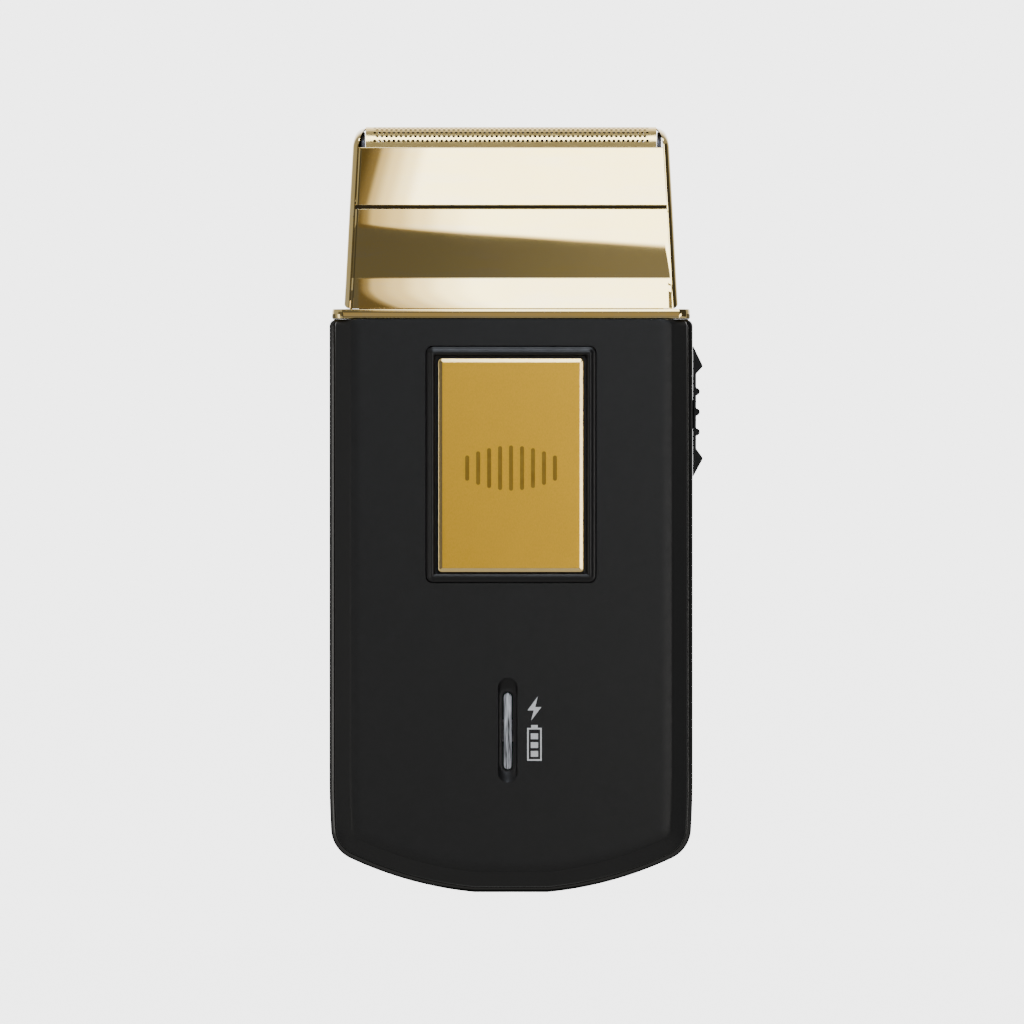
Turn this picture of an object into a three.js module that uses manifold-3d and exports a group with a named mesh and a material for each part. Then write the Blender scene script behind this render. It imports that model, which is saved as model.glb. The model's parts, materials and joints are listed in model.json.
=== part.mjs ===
// A compact single-foil travel shaver, in millimetres.
// +Z runs up the body to the foil, the front cover faces -Y and the slide switch is on the +X side.
// The body stands on the small flat land at the middle of its curved base, at z = 0.

import * as THREE from 'three';
import { mergeVertices } from 'three/addons/utils/BufferGeometryUtils.js';
import Module from 'manifold-3d';

const wasm = await Module();
wasm.setup();

// ---------------------------------------------------------------- driving dimensions

const gap = 0.3;      // between neighbours that nearly touch
const slip = 0.15;    // between pieces that slide on each other
const beyond = 5;     // how far a cutting tool runs past what it cuts
const bite = 0.1;     // how far solids that are joined run into each other

const body = {
  halfWidth: 24.9,
  top: 78.5,
  front: -10.7,
  back: 11,
  wall: 1.65,
  parting: -5.5,          // where the rear shell ends and the front cover begins
  topCorner: 0.9,
  backRound: 4.2,
  sideArcRadius: 130,     // the sides draw in below this height
  sideArcStart: 16,
  cornerRadius: 4.6,
  baseRadius: 52,
  landHalfWidth: 5,
};

const cover = { step: 0.8, bevelWidth: 2.1, bevelDepth: 2.3, wall: 1.6, sideWall: 1.9 };

const collar = {
  halfWidth: 24.5,
  front: -9.9,
  back: 10,
  bottom: 78.6,
  top: 79.9,
  frontRound: 1.6,
  backRound: 4,
};

const head = {
  bottom: 80,
  creaseZ: 84.1,
  grooveBottom: 93.65,
  grooveTop: 94.15,
  grooveInset: 0.4,
  panelTop: 102.1,
  top: 104.9,
  halfWidth: 22.85,       // at the collar's top face
  lean: 0.052,            // how much narrower per millimetre of height
  plateThickness: 0.85,
  plateLip: 0.1,          // how far the end plates stand out past the panels
  plateBulge: 0.25,       // the same beside the groove
  plateGap: 0.1,
  wall: 0.9,
  endWall: 1,
  endWallTop: 95.5,
  rimWall: 0.7,
  rimHeight: 0.6,
  shoulderWidth: 1.1,
  shoulderHeight: 2.6,
  bottomDepth: 9.2,       // half depths of the front and rear panels
  creaseDepth: 8.5,
  grooveDepth: 7.9,
  upperDepth: 7.75,
  topDepth: 5.6,
};

const foil = { top: 105, radius: 4.6, thickness: 0.25, halfLength: 19.95, bottom: 96.5 };
const foilCentre = foil.top - foil.radius;
const foilEnd = { gap: 0.1, length: 0.55, radius: 3.9 };
const cradle = {
  halfWidth: 19.9,
  halfDepth: 5.9,
  bottom: 94.2,
  top: 96.2,
  openX: 18.8,
  openY: 4.5,
  barOuter: 5.2,
  barTop: 99.3,
};

const badge = { halfWidth: 10, bottom: 43.85, top: 73.2, front: -10.9, back: -9.95, edge: 0.4 };
const bezel = {
  outer: 11.6,
  inner: 10.35,
  front: -11,
  pocketFloor: -9.75,
  rimBelow: 1.35,
  rimAbove: 1.55,
  round: 0.9,
  edge: 0.35,
};

const status = { x: -0.45, z: 22.3, halfWidth: 1.27, halfHeight: 7.1, depth: 0.85 };
const lens = { halfWidth: 0.57, halfHeight: 5.25, front: -10.2, back: -4.3, z: 22.15 };

const button = {
  bottom: 57,
  top: 74.9,
  base: 25,
  face: 25.4,
  peak: 26.35,
  lowerPeak: 59.5,
  upperPeak: 72.1,
  lowerFoot: 60.8,
  upperFoot: 71.1,
  ribs: [63.1, 65.85, 68.65],
  ribRadius: 0.5,
  halfDepth: 3.3,
  travel: 3,
};
const stem = { bottom: 63.5, top: 67.5, halfDepth: 1.2, inner: 22.9 };

const motor = {
  halfWidth: 10,
  halfDepth: 7.5,
  bottom: 48,
  top: 73,
  wall: 0.8,
  shaftRadius: 1,
  shaftBottom: 44.6,
  capBottom: 45.6,
};
const bush = { radius: 2.9, height: 1.6 };
const magnet = { inner: 6.8, outer: 9, spread: (42 * Math.PI) / 180, bottom: 52, top: 69 };
const armature = { radius: 6.2, bottom: 53, top: 68, poles: 3, slotFrom: 3, slotWidth: 1.6 };
const commutator = { radius: 2.4, bottom: 48.6, top: 51.8 };
const terminal = { x: 5.5, halfWidth: 1.2, thickness: 0.4, bottom: 42, top: 45.5 };
const cam = { bottom: 75, top: 77.6, boreTop: 76.8, radius: 3, pinRadius: 0.8, throw: 0.8, pinTop: 81.9 };

const deck = {
  halfWidth: 22.1,
  front: -8.8,
  back: 8.9,
  frontRound: 1,
  backRound: 2.6,
  bottom: 76.4,
  top: 78.3,
  holeRadius: 4.2,
};
const turret = {
  halfWidth: 14,
  halfDepth: 6.6,
  top: 83,
  innerX: 12.2,
  innerY: 4.8,
  ribTop: 79.85,
  ribInner: 3.2,
};

const baseRing = {
  halfWidth: 19.8,
  halfDepth: 7.5,
  bottom: 80.5,
  top: 83,
  lugX: 15.8,
  openX: 18.7,
  openY: 4.7,
};
const latch = { bottom: 80.2, top: 82.8, bulge: 1.1, thickness: 0.3, halfDepth: 6.2 };

const yoke = {
  bottom: 80,
  top: 82,
  halfWidth: 11.2,
  neckTop: 83.1,
  neckX: 8.8,
  neckY: 2.6,
  postX: 2.4,
  postY: 1.9,
  postTop: 91.5,
  slotX: 2.5,
  slotY: 2,
  slotRise: 0.6,
};
const retainer = { gap: 0.2, openX: 10.4, openY: 3, top: 82.9 };
const guard = { bottom: 83.2, top: 83.7, halfWidth: 11.6, halfDepth: 4.4 };
const spring = { x: 7.5, bottom: 83.85, top: 92.75, radius: 1.2, wire: 0.3, turns: 5 };

const carrier = {
  bottom: 92.9,
  top: 96.5,
  halfWidth: 17.4,
  halfDepth: 3.3,
  socketBottom: 88,
  socketWall: 0.9,
};
const blades = {
  count: 30,
  thickness: 0.3,
  radius: 4.15,
  halfLength: 17.5,
  footHalfWidth: 1.9,
  spineHalfWidth: 1.6,
  spineBottom: 96.6,
  spineTop: 98.6,
};

const cell = { x: -16, y: 0.5, radius: 5.2, bottom: 14.4, top: 58, nubTop: 58.9, nubRadius: 1.9 };
const cellTab = { left: -18, positiveRight: -12.5, negativeRight: -7.5, halfDepth: 1.4, thickness: 0.2 };

const frame = { halfWidth: 20.5, front: 7.9, back: 9, bottom: 16, top: 70, ribFront: -1, ribHeight: 2 };
const frameRibs = {
  motorHalfWidth: 12.5,
  motorZ: [50, 66],
  cellLeft: -22,
  cellRight: -9.6,
  cellZ: [22, 44],
};
const boardPost = { radius: 1.6, places: [[5, 16], [1, 38], [16, 34]] };

const board = { front: -2.6, back: -1.6, left: -9, right: 14, bottom: 7.5, top: 44, armLeft: 11.5 };
const boardArm = { right: 20, bottom: 30, top: 69 };

const led = { halfWidth: 0.8, halfHeight: 1.5, front: -4.1 };
const chip = { x: 6, z: 32, halfSide: 3, front: -4 };
const capacitor = { x: 8, radius: 1.8, bottom: 10, top: 16 };
const leadRadius = 0.45;

const switchBox = { left: 13, right: 18.6, back: 2.5, bottom: 58, top: 69 };
const switchMouth = { left: 16.4, front: -0.9, back: 1.9, bottom: 60.4, top: 68 };
const knob = { left: 16.6, right: 21.4, front: -0.6, back: 1.6, bottom: 62, top: 64.5 };
const slider = { left: 21.6, halfDepth: 2.2, bottom: 61, top: 70 };

const socket = { halfWidth: 4, front: -1.5, back: 1.3, bottom: 5.7, top: 11, wall: 0.3, floor: 0.5 };
const tongue = { halfWidth: 2.8, halfDepth: 0.25, bottom: 6.3, top: 10.3 };
const well = { halfWidth: 5.4, halfDepth: 3.2, roof: 5.4, outerTop: 7, wall: 1.3 };

const screw = {
  x: 17.5,
  lowZ: 11,
  highZ: 73.3,
  headRadius: 1.9,
  headDepth: 0.9,
  headInset: 0.05,
  shankRadius: 1,
  length: 9,
  slotHalfWidth: 0.25,
  slotHalfLength: 1.1,
  slotDepth: 0.5,
};
const boss = { radius: 2.2, bore: 1.2, back: 8.9, drillFront: 0 };

// The switch stands out on one side only, so the body sits this far to the left of the origin.
const centring = -(button.peak - body.halfWidth) / 2;

// ---------------------------------------------------------------- finishes

const finish = (color, roughness, metalness) => ({ color, roughness, metalness });
const softBlack = finish(0x262626, 0.55, 0);
const glossBlack = finish(0x101010, 0.25, 0);
const innerBlack = finish(0x1c1c1e, 0.6, 0);
const mirrorGold = finish(0xd9b66a, 0.12, 1);
const satinGold = finish(0xc09c4c, 0.38, 1);
const steel = finish(0xb9bcc0, 0.3, 1);
const darkSteel = finish(0x55585c, 0.4, 1);
const copper = finish(0xb87333, 0.35, 1);
const brassTone = finish(0xb59a4b, 0.35, 1);
const nylonWhite = finish(0xe6e4dc, 0.5, 0);
const clearLens = finish(0xdfe6ea, 0.1, 0);
const boardGreen = finish(0x1f5a35, 0.5, 0);
const cellWrap = finish(0x3f7f4c, 0.45, 0);
const rubberGrey = finish(0x3a3a3c, 0.8, 0);
const leadRed = finish(0xa81c1c, 0.5, 0);
const leadBlack = finish(0x141414, 0.5, 0);
const magnetGrey = finish(0x4a4a4c, 0.6, 0.4);

// ---------------------------------------------------------------- solids and booleans

function solidOf(geometry) {
  const bare = geometry.clone();
  bare.deleteAttribute('normal');
  bare.deleteAttribute('uv');
  const welded = mergeVertices(bare);
  const mesh = new wasm.Mesh({
    numProp: 3,
    vertProperties: new Float32Array(welded.attributes.position.array),
    triVerts: new Uint32Array(welded.index.array),
  });
  return new wasm.Manifold(mesh);
}

function geometryOf(solid) {
  const mesh = solid.getMesh();
  const geometry = new THREE.BufferGeometry();
  geometry.setAttribute('position', new THREE.BufferAttribute(new Float32Array(mesh.vertProperties), 3));
  geometry.setIndex(new THREE.BufferAttribute(new Uint32Array(mesh.triVerts), 1));
  geometry.computeVertexNormals();
  return geometry;
}

const joined = (...solids) => solids.reduce((whole, part) => whole.add(part));
const cut = (solid, ...tools) => tools.reduce((rest, tool) => rest.subtract(tool), solid);

function block(x, y, z) {
  const geometry = new THREE.BoxGeometry(x[1] - x[0], y[1] - y[0], z[1] - z[0]);
  geometry.translate((x[0] + x[1]) / 2, (y[0] + y[1]) / 2, (z[0] + z[1]) / 2);
  return solidOf(geometry);
}

const around = (half, centre = 0) => [centre - half, centre + half];

// A round bar along Z, or along Y or X, between two heights on its axis.
function barZ(radius, z, x = 0, y = 0, sides = 20) {
  const geometry = new THREE.CylinderGeometry(radius, radius, z[1] - z[0], sides);
  geometry.rotateX(Math.PI / 2);
  geometry.translate(x, y, (z[0] + z[1]) / 2);
  return solidOf(geometry);
}

function barY(radius, y, x, z, sides = 16) {
  const geometry = new THREE.CylinderGeometry(radius, radius, y[1] - y[0], sides);
  geometry.translate(x, (y[0] + y[1]) / 2, z);
  return solidOf(geometry);
}

// An outline drawn in (x, z), thickened along Y.
function plateXZ(shape, y, curveSegments = 3) {
  const depth = y[1] - y[0];
  const geometry = new THREE.ExtrudeGeometry(shape, { depth, bevelEnabled: false, curveSegments });
  geometry.rotateX(Math.PI / 2);
  geometry.translate(0, y[1], 0);
  return solidOf(geometry);
}

// The same, with the edges at both ends rounded or chamfered inward.
function bevelledPlateXZ(shape, y, width, thickness, segments, curveSegments = 3) {
  const geometry = new THREE.ExtrudeGeometry(shape, {
    depth: y[1] - y[0] - 2 * thickness,
    bevelEnabled: true,
    bevelSize: width,
    bevelOffset: -width,
    bevelThickness: thickness,
    bevelSegments: segments,
    curveSegments,
  });
  geometry.rotateX(Math.PI / 2);
  geometry.translate(0, y[1] - thickness, 0);
  return solidOf(geometry);
}

// An outline drawn in (x, y), raised along Z.
function plateXY(shape, z, curveSegments = 3) {
  const depth = z[1] - z[0];
  const geometry = new THREE.ExtrudeGeometry(shape, { depth, bevelEnabled: false, curveSegments });
  geometry.translate(0, 0, z[0]);
  return solidOf(geometry);
}

// An outline drawn in (y, z), run along X.
function plateYZ(shape, x, curveSegments = 3) {
  const depth = x[1] - x[0];
  const geometry = new THREE.ExtrudeGeometry(shape, { depth, bevelEnabled: false, curveSegments });
  geometry.applyMatrix4(new THREE.Matrix4().makeBasis(
    new THREE.Vector3(0, 1, 0),
    new THREE.Vector3(0, 0, 1),
    new THREE.Vector3(1, 0, 0),
  ));
  geometry.translate(x[0], 0, 0);
  return solidOf(geometry);
}

function polygon(points) {
  return new THREE.Shape(points.map(([u, v]) => new THREE.Vector2(u, v)));
}

function roundedRectangle(u, v, radius) {
  const shape = new THREE.Shape();
  const quarter = Math.PI / 2;
  shape.absarc(u[1] - radius, v[0] + radius, radius, -quarter, 0, false);
  shape.absarc(u[1] - radius, v[1] - radius, radius, 0, quarter, false);
  shape.absarc(u[0] + radius, v[1] - radius, radius, quarter, 2 * quarter, false);
  shape.absarc(u[0] + radius, v[0] + radius, radius, 2 * quarter, 3 * quarter, false);
  return shape;
}

const stadium = (x, z, halfWidth, halfHeight) => roundedRectangle(
  around(halfWidth, x),
  around(halfHeight, z),
  halfWidth - 0.01,
);

function wire(points, radius, steps = 14) {
  const path = new THREE.CatmullRomCurve3(points.map((point) => new THREE.Vector3(...point)));
  const section = new THREE.Shape();
  section.absarc(0, 0, radius, 0, 2 * Math.PI, false);
  return new THREE.ExtrudeGeometry(section, { steps, extrudePath: path, curveSegments: 3 });
}

// ---------------------------------------------------------------- the body's outline

// The corner circle touches the side arc and the base arc from inside.
const baseSag = body.baseRadius - Math.sqrt(body.baseRadius ** 2 - body.landHalfWidth ** 2);
const baseCentre = new THREE.Vector2(0, body.baseRadius - baseSag);
const sideCentre = new THREE.Vector2(body.halfWidth - body.sideArcRadius, body.sideArcStart);

function circlesMeet(a, radiusA, b, radiusB) {
  const span = b.clone().sub(a);
  const distance = span.length();
  const along = (radiusA ** 2 - radiusB ** 2 + distance ** 2) / (2 * distance);
  const across = Math.sqrt(radiusA ** 2 - along ** 2);
  const unit = span.divideScalar(distance);
  const side = new THREE.Vector2(unit.y, -unit.x);
  return a.clone().addScaledVector(unit, along).addScaledVector(side, across);
}

const cornerCentre = circlesMeet(
  sideCentre,
  body.sideArcRadius - body.cornerRadius,
  baseCentre,
  body.baseRadius - body.cornerRadius,
);
const angleFrom = (centre, point) => Math.atan2(point.y - centre.y, point.x - centre.x);
const sideAngle = angleFrom(sideCentre, cornerCentre);
const baseAngle = angleFrom(baseCentre, cornerCentre);

// The outline, drawn inward by an inset, up to a flat top whose corners may be rounded.
function bodyOutline(inset, top, corner = 0) {
  const halfWidth = body.halfWidth - inset;
  const cornerRadius = body.cornerRadius - inset;
  const baseRadius = body.baseRadius - inset;
  const landAngle = Math.asin(body.landHalfWidth / body.baseRadius);
  const shape = new THREE.Shape();
  shape.moveTo(-halfWidth + corner, top);
  if (corner > 0) shape.absarc(-halfWidth + corner, top - corner, corner, Math.PI / 2, Math.PI, false);
  shape.lineTo(-halfWidth, sideCentre.y);
  shape.absarc(-sideCentre.x, sideCentre.y, body.sideArcRadius - inset, Math.PI, Math.PI - sideAngle, false);
  const { x, y } = cornerCentre;
  shape.absarc(-x, y, cornerRadius, Math.PI - sideAngle, Math.PI - baseAngle, false);
  shape.absarc(0, baseCentre.y, baseRadius, Math.PI - baseAngle, 1.5 * Math.PI - landAngle, false);
  shape.absarc(0, baseCentre.y, baseRadius, landAngle - Math.PI / 2, baseAngle, false);
  shape.absarc(x, y, cornerRadius, baseAngle, sideAngle, false);
  shape.absarc(sideCentre.x, sideCentre.y, body.sideArcRadius - inset, sideAngle, 0, false);
  if (corner > 0) shape.absarc(halfWidth - corner, top - corner, corner, 0, Math.PI / 2, false);
  else shape.lineTo(halfWidth, top);
  return shape;
}

// ---------------------------------------------------------------- casing

const screwPlaces = [-1, 1].flatMap((side) => [screw.lowZ, screw.highZ].map((z) => [side * screw.x, z]));

function rearShell() {
  const tall = body.top + 2 * beyond;
  const outside = bevelledPlateXZ(
    bodyOutline(0, tall),
    [body.parting - beyond - body.backRound, body.back],
    body.backRound,
    body.backRound,
    4,
  );
  const trimmed = outside.intersect(
    plateXZ(bodyOutline(0, body.top, body.topCorner), [body.parting, body.back + beyond]),
  );
  const innerRound = body.backRound - body.wall;
  const hollow = bevelledPlateXZ(
    bodyOutline(body.wall, tall),
    [body.parting - 2 * beyond, body.back - body.wall],
    innerRound,
    innerRound,
    3,
  );
  const wellBlock = block(
    around(well.halfWidth + well.wall),
    around(well.halfDepth + well.wall),
    [baseSag + well.wall, well.outerTop],
  );
  const recess = block(around(well.halfWidth), around(well.halfDepth), [-beyond, well.roof]);
  const window = block(
    around(socket.halfWidth + slip),
    [socket.front - slip, socket.back + slip],
    [well.roof - 1, well.outerTop + 1],
  );
  const switchSlot = block(
    [body.halfWidth - 2 * body.wall, body.halfWidth + beyond],
    around(stem.halfDepth + slip),
    [stem.bottom - slip, stem.top + button.travel + slip],
  );
  const screwHoles = screwPlaces.flatMap(([x, z]) => [
    barY(screw.shankRadius + gap, [body.back - 2 * body.wall, body.back + 1], x, z),
    barY(screw.headRadius + 0.2, [body.back - screw.headDepth - 0.1, body.back + 1], x, z),
  ]);
  return cut(joined(cut(trimmed, hollow), wellBlock), recess, window, switchSlot, ...screwHoles);
}

function frontCover() {
  const tall = body.top + 2 * beyond;
  const back = body.parting - gap;
  const outside = bevelledPlateXZ(
    bodyOutline(cover.step, tall),
    [body.front, back + beyond + cover.bevelDepth],
    cover.bevelWidth,
    cover.bevelDepth,
    1,
  );
  const trimmed = outside.intersect(
    plateXZ(bodyOutline(cover.step, body.top, body.topCorner), [body.front - beyond, back]),
  );
  const hollow = plateXZ(
    bodyOutline(cover.step + cover.sideWall, tall),
    [body.front + cover.wall, back + beyond],
  );
  const pillars = screwPlaces.map(([x, z]) => barY(boss.radius, [body.front + 1, boss.back], x, z));
  const drilled = screwPlaces.map(([x, z]) => barY(boss.bore, [boss.drillFront, boss.back + 1], x, z));
  const badgePocket = plateXZ(
    roundedRectangle(
      around(bezel.outer + 0.1),
      [badge.bottom - bezel.rimBelow - 0.1, badge.top + bezel.rimAbove + 0.1],
      bezel.round + 0.1,
    ),
    [body.front - 1, bezel.pocketFloor],
  );
  const statusRecess = plateXZ(
    stadium(status.x, status.z, status.halfWidth, status.halfHeight),
    [body.front - 1, body.front + status.depth],
  );
  const lensSlot = plateXZ(
    stadium(status.x, lens.z, lens.halfWidth + slip, lens.halfHeight + slip),
    [body.front - 1, body.front + 2 * cover.wall],
  );
  const shell = joined(cut(trimmed, hollow), ...pillars);
  return cut(shell, ...drilled, badgePocket, statusRecess, lensSlot);
}

// A level slice of the body: small rounds at the front corners, large ones at the back.
function levelOutline({ halfWidth, front, back, frontRound, backRound }) {
  const outline = new THREE.Shape();
  const quarter = Math.PI / 2;
  outline.absarc(halfWidth - frontRound, front + frontRound, frontRound, -quarter, 0, false);
  outline.absarc(halfWidth - backRound, back - backRound, backRound, 0, quarter, false);
  outline.absarc(-halfWidth + backRound, back - backRound, backRound, quarter, 2 * quarter, false);
  outline.absarc(-halfWidth + frontRound, front + frontRound, frontRound, 2 * quarter, 3 * quarter, false);
  return outline;
}

function collarPlate() {
  const opening = block(
    around(turret.halfWidth + gap),
    around(turret.halfDepth + gap),
    [collar.bottom - 1, collar.top + 1],
  );
  return cut(plateXY(levelOutline(collar), [collar.bottom, collar.top]), opening);
}

function caseScrew(x, z) {
  const headTop = body.back - screw.headInset;
  const headBottom = body.back - screw.headDepth;
  const whole = joined(
    barY(screw.headRadius, [headBottom, headTop], x, z),
    barY(screw.shankRadius, [headTop - screw.length, headBottom + bite], x, z, 12),
  );
  const slot = [headTop - screw.slotDepth, headTop + 1];
  return cut(
    whole,
    block(around(screw.slotHalfLength, x), slot, around(screw.slotHalfWidth, z)),
    block(around(screw.slotHalfWidth, x), slot, around(screw.slotHalfLength, z)),
  );
}

// ---------------------------------------------------------------- front trim

function badgeBezel() {
  const outer = roundedRectangle(
    around(bezel.outer),
    [badge.bottom - bezel.rimBelow, badge.top + bezel.rimAbove],
    bezel.round,
  );
  const inner = roundedRectangle(around(bezel.inner), [badge.bottom - gap, badge.top + gap], badge.edge);
  const ring = bevelledPlateXZ(outer, [bezel.front, bezel.pocketFloor + 2], bezel.edge, bezel.edge, 1, 2)
    .intersect(block(around(body.halfWidth), [bezel.front - 1, bezel.pocketFloor - 0.05], [0, body.top]));
  return cut(ring, plateXZ(inner, [bezel.front - 1, bezel.pocketFloor + 1], 2));
}

function badgePlate() {
  const outline = roundedRectangle(around(badge.halfWidth), [badge.bottom, badge.top], 0.5);
  return bevelledPlateXZ(outline, [badge.front, badge.back + 2], badge.edge, badge.edge / 2, 2, 2)
    .intersect(block(around(body.halfWidth), [badge.front - 1, badge.back], [0, body.top]));
}

function lightPipe() {
  return plateXZ(stadium(status.x, lens.z, lens.halfWidth, lens.halfHeight), [lens.front, lens.back]);
}

// ---------------------------------------------------------------- foil head

const headHalfWidth = (z) => head.halfWidth - head.lean * (z - collar.top);
const plateInner = (z) => headHalfWidth(z) - head.plateThickness;

// Front and rear panels are mirror images, so a half profile gives the whole outline.
function mirrored(half) {
  const rear = half.map(([y, z]) => [-y, z]).reverse();
  return polygon([...half, ...rear]);
}

function headProfile() {
  return mirrored([
    [-head.topDepth, head.panelTop],
    [-head.upperDepth, head.grooveTop],
    [-head.upperDepth + head.grooveInset, head.grooveTop],
    [-head.upperDepth + head.grooveInset, head.grooveBottom],
    [-head.grooveDepth, head.grooveBottom],
    [-head.creaseDepth, head.creaseZ],
    [-head.bottomDepth, head.bottom],
  ]);
}

function headHollow() {
  return mirrored([
    [-head.topDepth + head.rimWall, head.panelTop + 1],
    [-head.topDepth + head.rimWall, head.panelTop - head.rimHeight],
    [-head.upperDepth + head.wall + head.grooveInset, head.grooveTop],
    [-head.creaseDepth + head.wall, head.creaseZ],
    [-head.bottomDepth + head.wall, head.bottom - 1],
  ]);
}

function taperXZ(halfWidthAt, z, shrink) {
  return polygon([
    [-halfWidthAt(z[0]) + shrink, z[0]],
    [halfWidthAt(z[0]) - shrink, z[0]],
    [halfWidthAt(z[1]) - shrink, z[1]],
    [-halfWidthAt(z[1]) + shrink, z[1]],
  ]);
}

function headFrame() {
  const reach = around(head.halfWidth);
  const depth = around(head.bottomDepth + beyond);
  const outside = plateYZ(headProfile(), reach)
    .intersect(plateXZ(taperXZ(plateInner, [head.bottom, head.panelTop], head.plateGap), depth));
  const wallInset = head.plateGap + head.endWall;
  const between = taperXZ(plateInner, [head.bottom - beyond, head.endWallTop], wallInset);
  const hollow = plateYZ(headHollow(), reach).intersect(plateXZ(between, depth));
  const upperHollow = plateYZ(headHollow(), reach)
    .intersect(block(reach, depth, [head.endWallTop - bite, head.top]));
  return cut(outside, hollow, upperHollow);
}

function headEndPlate(side) {
  const half = [
    [-head.topDepth - head.plateLip, head.panelTop],
    [-head.upperDepth - head.plateBulge, head.grooveTop],
    [-head.creaseDepth - head.plateLip, head.creaseZ],
    [-head.bottomDepth - head.plateLip, head.bottom],
  ];
  const outline = new THREE.Shape();
  outline.moveTo(...half[0]);
  half.slice(1).forEach(([y, z]) => outline.lineTo(y, z));
  [...half].reverse().forEach(([y, z]) => outline.lineTo(-y, z));
  const archRise = head.top - head.panelTop;
  outline.absellipse(0, head.panelTop, -half[0][0], archRise, 0, Math.PI, false, 0);
  const outer = plateXZ(headSilhouette(), around(head.bottomDepth + beyond), 4);
  const inner = plateXZ(
    taperXZ(plateInner, [head.bottom - beyond, head.top + beyond], 0),
    around(head.bottomDepth + beyond),
  );
  const slab = plateYZ(outline, side > 0 ? [0, body.halfWidth] : [-body.halfWidth, 0], 5);
  return cut(slab.intersect(outer), inner);
}

// What the head shows from the front: straight leaning sides and round shoulders.
function headSilhouette() {
  const { shoulderWidth, shoulderHeight } = head;
  const shoulderZ = head.top - shoulderHeight;
  const shoulderX = headHalfWidth(shoulderZ) - shoulderWidth;
  const shape = new THREE.Shape();
  shape.moveTo(-headHalfWidth(head.bottom), head.bottom);
  shape.lineTo(headHalfWidth(head.bottom), head.bottom);
  shape.absellipse(shoulderX, shoulderZ, shoulderWidth, shoulderHeight, 0, Math.PI / 2, false, 0);
  shape.absellipse(-shoulderX, shoulderZ, shoulderWidth, shoulderHeight, Math.PI / 2, Math.PI, false, 0);
  return shape;
}

function foilArch(radius, bottom) {
  const shape = new THREE.Shape();
  shape.moveTo(-radius, bottom);
  shape.lineTo(radius, bottom);
  shape.absarc(0, foilCentre, radius, 0, Math.PI, false);
  return shape;
}

function foilSheet() {
  const outside = plateYZ(foilArch(foil.radius, foil.bottom), around(foil.halfLength), 8);
  const inside = foilArch(foil.radius - foil.thickness, foil.bottom - 1);
  return cut(outside, plateYZ(inside, around(foil.halfLength + 1), 8));
}

function foilClip(side) {
  const inner = foil.halfLength + foilEnd.gap;
  const outer = inner + foilEnd.length;
  const span = side > 0 ? [inner, outer] : [-outer, -inner];
  return plateYZ(foilArch(foilEnd.radius, foil.bottom), span, 5);
}

function foilCradle() {
  const ring = cut(
    block(around(cradle.halfWidth), around(cradle.halfDepth), [cradle.bottom, cradle.top]),
    block(around(cradle.openX), around(cradle.openY), [cradle.bottom - 1, cradle.top + 1]),
  );
  const barInner = foil.radius + slip;
  const bars = [[-cradle.barOuter, -barInner], [barInner, cradle.barOuter]].map(
    (y) => block(around(foil.halfLength), y, [cradle.top - bite, cradle.barTop]),
  );
  return joined(ring, ...bars);
}

// Holds the head on: its four corner lugs reach in to the turret's latch clips, and the opening
// between them is wide enough for the cutter to pass when the head is lifted off.
function headBaseRing() {
  const drill = [baseRing.bottom - 1, baseRing.top + 1];
  return cut(
    block(around(baseRing.halfWidth), around(baseRing.halfDepth), [baseRing.bottom, baseRing.top]),
    block(around(baseRing.lugX), around(turret.halfDepth + gap), drill),
    block(around(baseRing.openX), around(baseRing.openY), drill),
  );
}

// ---------------------------------------------------------------- drive and cutter

function topDeck() {
  const plate = plateXY(levelOutline(deck), [deck.bottom, deck.top]);
  const walls = cut(
    block(around(turret.halfWidth), around(turret.halfDepth), [deck.top - bite, turret.top]),
    block(around(turret.innerX), around(turret.innerY), [deck.top, turret.top + 1]),
  );
  const ribOuter = turret.innerY + bite;
  const ribs = [[-ribOuter, -turret.ribInner], [turret.ribInner, ribOuter]].map(
    (y) => block(around(turret.innerX + bite), y, [deck.top - bite, turret.ribTop]),
  );
  const hole = barZ(deck.holeRadius, [deck.bottom - 1, turret.ribTop + 1], 0, 0, 24);
  return cut(joined(plate, walls, ...ribs), hole);
}

function yokeRetainer() {
  return cut(
    block(
      around(turret.innerX - retainer.gap),
      around(turret.innerY - slip),
      [yoke.top + retainer.gap, retainer.top],
    ),
    block(around(retainer.openX), around(retainer.openY), [yoke.top, turret.top + 1]),
  );
}

function latchClip(side) {
  const inner = side * (turret.halfWidth + slip);
  const middle = (latch.bottom + latch.top) / 2;
  const leaf = [
    [inner, latch.bottom],
    [inner + side * latch.thickness, latch.bottom],
    [inner + side * latch.bulge, middle],
    [inner + side * latch.thickness, latch.top],
    [inner, latch.top],
    [inner + side * (latch.bulge - latch.thickness), middle],
  ];
  return plateXZ(polygon(side > 0 ? leaf : leaf.reverse()), around(latch.halfDepth));
}

function driveYoke() {
  const plate = block(around(yoke.halfWidth), around(turret.innerY - slip), [yoke.bottom, yoke.top]);
  const neck = block(around(yoke.neckX), around(yoke.neckY), [yoke.top - bite, yoke.neckTop]);
  const post = block(around(yoke.postX), around(yoke.postY), [yoke.neckTop - bite, yoke.postTop]);
  const pinSlot = block(around(yoke.slotX), around(yoke.slotY), [yoke.bottom - 1, yoke.top + yoke.slotRise]);
  return cut(joined(plate, neck, post), pinSlot);
}

function hairGuard() {
  return cut(
    block(around(guard.halfWidth), around(guard.halfDepth), [guard.bottom, guard.top]),
    block(around(yoke.postX + slip), around(yoke.postY + slip), [guard.bottom - 1, guard.top + 1]),
  );
}

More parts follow.
